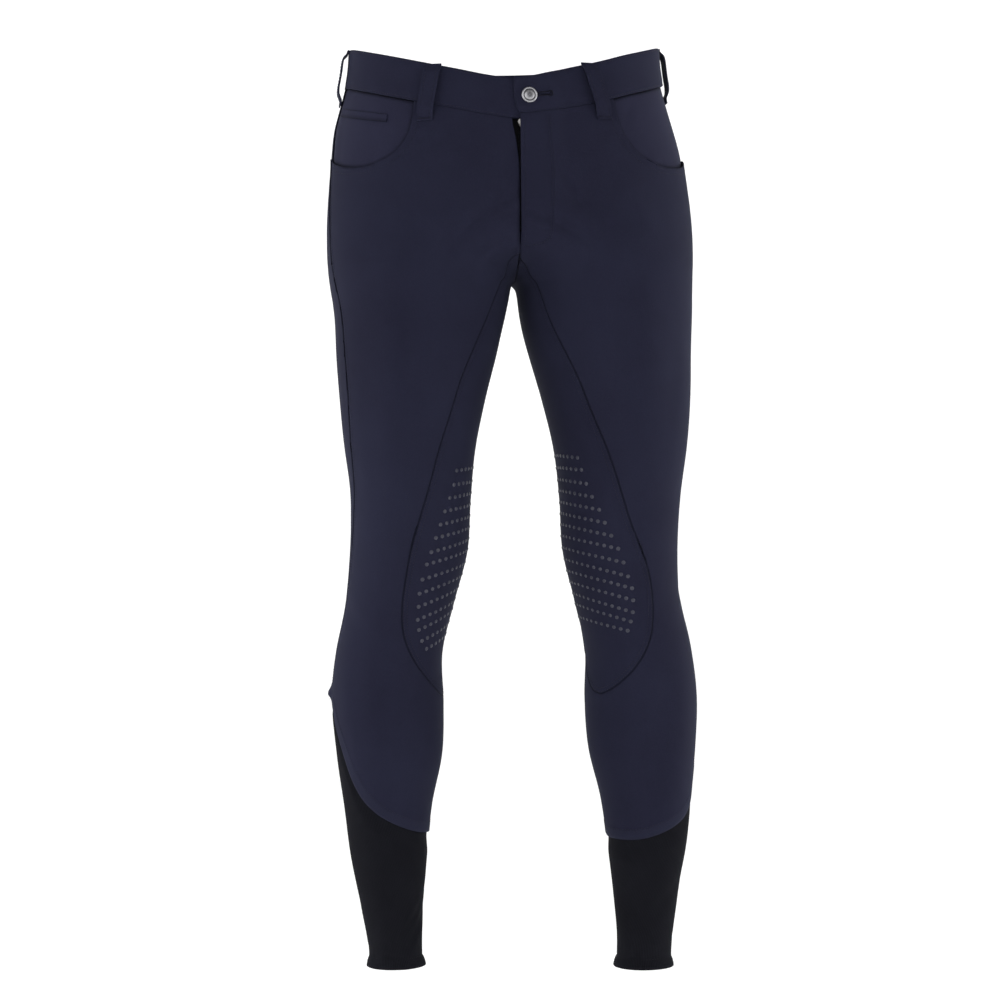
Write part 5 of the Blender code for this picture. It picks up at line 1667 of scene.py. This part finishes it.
fronts = {side: panels[side]["front"][1] for side in (-1, 1)}
backs = {side: panels[side]["back"][1] for side in (-1, 1)}
for side in (-1, 1):
    word = sideName(side)
    shape = fronts[side]
    scoop = shape["scoop"]
    spots = []
    for away in (1.8 * mm, 7.0 * mm):  # beside the pocket's edge
        spots.append(stitchRow(side, aside(side, scoop[2:], side * away), frontLift))
    seamDown = outseamLine(side, -0.096, shape["top"][1] + 4 * mm)
    for away in (2.2 * mm, 6.0 * mm):  # a double row on the front beside the outseam
        spots.append(stitchRow(side, aside(side, seamDown, side * away)))
    stitches(f"topstitch_front_{word}", spots, navyThread)
    spots = []
    for away in (2.0 * mm, 5.6 * mm):  # round the inner panel
        grip = joined(shape["line"], shape["foot"])
        onFront = aside(side, grip[6:-6], side * away)
        spots.append(stitchRow(side, onFront, lambda s, g: frontLift(s, g) * (g[..., 0] > 0)))
        spots.append(stitchRow(side, aside(side, backs[side]["line"][6:-6], side * away)))
    stitches(f"topstitch_inner_panel_{word}", spots, navyThread)
    spots = []
    for away in (9.6 * mm, 11.4 * mm):  # twin-needle hem
        for hem in (shape["hem"], backs[side]["hem"]):
            spots.append(stitchRow(side, aside(side, hem[3:-3], -side * away), 0.2 * mm))
    stitches(f"hem_coverstitch_{word}", spots, navyThread)
    turns = np.linspace(0, 360, 200)
    ring = np.stack([turns, np.full(200, ankles[side] + cuff["roll"])], axis=-1)
    spots = [stitchRow(side, ring, lambda s, g: cuffLift(s, g[..., 0], g[..., 1]))]
    stitches(f"cuff_coverstitch_{word}", spots, blackThread)
    spots = [stitchRow(side, aside(side, backs[side]["centre"][4:-4], side * 2.2 * mm))]
    for height in (2.0 * mm, cut["bandHeight"] - 2.4 * mm):
        line = bandRow(side, height)[1:]
        spots.append(stitchRow(side, line, lambda s, g: bandLift(s, g) + 0.05 * mm))
    stitches(f"topstitch_waistband_{word}", spots, navyThread)
flySpots = [
    stitchRow(1, byX(jStitch), frontLift),
    stitchRow(1, byX(jStitch, -2.4), frontLift),
    stitchRow(1, byX([(4.6, level) for level in np.linspace(-0.0620, -0.1920, 9)]), frontLift),
]
stitches("topstitch_fly", flySpots, navyThread)
stitches("belt_loop_stitches", loopThreads, navyThread)
stitches("buttonhole_stitches", buttonholeStitches(), navyThread, wide=0.6 * mm, high=0.5 * mm, cover=1.0)
weltSpots = [
    stitchRow(-1, part(welt[0], 0.02, 0.98), -pocket["deep"] + 1.25 * mm),
    stitchRow(-1, aside(-1, part(welt[1], 0.02, 0.90), 1.6 * mm), -pocket["deep"] + 0.1 * mm),
]
stitches("coin_pocket_stitches", weltSpots, navyThread)
print("topstitching made")


# ---------- stage, light and camera


def makeStage():
    mesh = bmesh.new()
    profile = [(0.0, -1.30), (2.2, -1.30), (3.2, -1.26), (4.0, -1.0), (4.5, -0.3), (4.7, 0.8), (4.7, 3.2)]
    turns = 64
    rings = []
    for radius, z in profile:
        if radius == 0:
            rings.append([mesh.verts.new((0, 0, z))])
        else:
            angles = np.linspace(0, 2 * math.pi, turns, endpoint=False)
            rings.append([mesh.verts.new((radius * math.cos(a), radius * math.sin(a), z)) for a in angles])
    for upper, lower in zip(rings, rings[1:]):
        for i in range(turns):
            j = (i + 1) % turns
            corners = [upper[i % len(upper)], lower[i], lower[j], upper[j % len(upper)]]
            mesh.faces.new([v for k, v in enumerate(corners) if v not in corners[:k]])
    data = bpy.data.meshes.new("studio_floor")
    mesh.to_mesh(data)
    mesh.free()
    data.shade_smooth()
    floor = bpy.data.objects.new("studio_floor", data)
    bpy.context.scene.collection.objects.link(floor)
    material, tree, shader = started("matt_white_paper")
    grain = add(tree, "TexNoise", {"Scale": 900.0}).outputs["Fac"]
    tree.links.new(mixed(tree, grain, linear("#f1f1f1"), linear("#f6f6f6")), shader.inputs["Base Color"])
    shader.inputs["Roughness"].default_value = 0.95
    shader.inputs["Specular IOR Level"].default_value = 0.0
    shader.inputs["Emission Color"].default_value = (1, 1, 1, 1)
    shader.inputs["Emission Strength"].default_value = 0.35
    data.materials.append(material)


def softBox(name, place, aim, size, power):
    lamp = bpy.data.lights.new(name, "AREA")
    lamp.shape = "RECTANGLE"
    lamp.size, lamp.size_y = size
    lamp.energy = power
    box = bpy.data.objects.new(name, lamp)
    bpy.context.scene.collection.objects.link(box)
    box.location = place
    box.rotation_euler = (Vector(aim) - Vector(place)).to_track_quat("-Z", "Y").to_euler()
    box.visible_camera = False


makeStage()
softBox("left_softbox", (2.1, 0.25, -0.25), (0.1, 0, -0.45), (0.9, 2.0), 19)
softBox("right_softbox", (-2.1, 0.25, -0.25), (-0.1, 0, -0.45), (0.9, 2.0), 18)
softBox("left_fill", (2.3, -1.5, -0.3), (0.1, 0, -0.45), (0.8, 1.8), 8)
softBox("right_fill", (-2.3, -1.5, -0.3), (-0.1, 0, -0.45), (0.8, 1.8), 7)
softBox("front_softbox", (-0.5, -2.9, 0.9), (0, 0, -0.4), (1.4, 1.2), 4)
softBox("back_softbox", (0.3, 2.8, 0.9), (0, 0, -0.4), (1.4, 1.4), 4)
world = bpy.data.worlds.new("pale_room")
bpy.context.scene.world = world
world.use_nodes = True
world.node_tree.nodes["Background"].inputs["Color"].default_value = (1, 1, 1, 1)
world.node_tree.nodes["Background"].inputs["Strength"].default_value = 0.25
bpy.context.scene.view_settings.view_transform = "Standard"

view = {"lens": 85.09, "turn": -8.0, "away": 2.6, "level": -0.463, "shift": -0.01265, "roll": -0.9}


def makeCamera():
    lens = bpy.data.cameras.new("studio_camera")
    lens.lens = view["lens"]
    lens.sensor_width = 36
    camera = bpy.data.objects.new("studio_camera", lens)
    bpy.context.scene.collection.objects.link(camera)
    turn, roll = math.radians(-view["turn"]), math.radians(view["roll"])
    forward = Vector((math.sin(turn), math.cos(turn), 0))
    right = Vector((math.cos(turn), -math.sin(turn), 0))
    up = Vector((0, 0, 1))
    rolledRight = right * math.cos(roll) + up * math.sin(roll)
    rolledUp = up * math.cos(roll) - right * math.sin(roll)
    place = forward * -view["away"] + Vector((0, 0, view["level"])) + right * view["shift"]
    matrix = Matrix((rolledRight, rolledUp, -forward)).transposed().to_4x4()
    camera.matrix_world = Matrix.Translation(place) @ matrix
    bpy.context.scene.camera = camera


makeCamera()
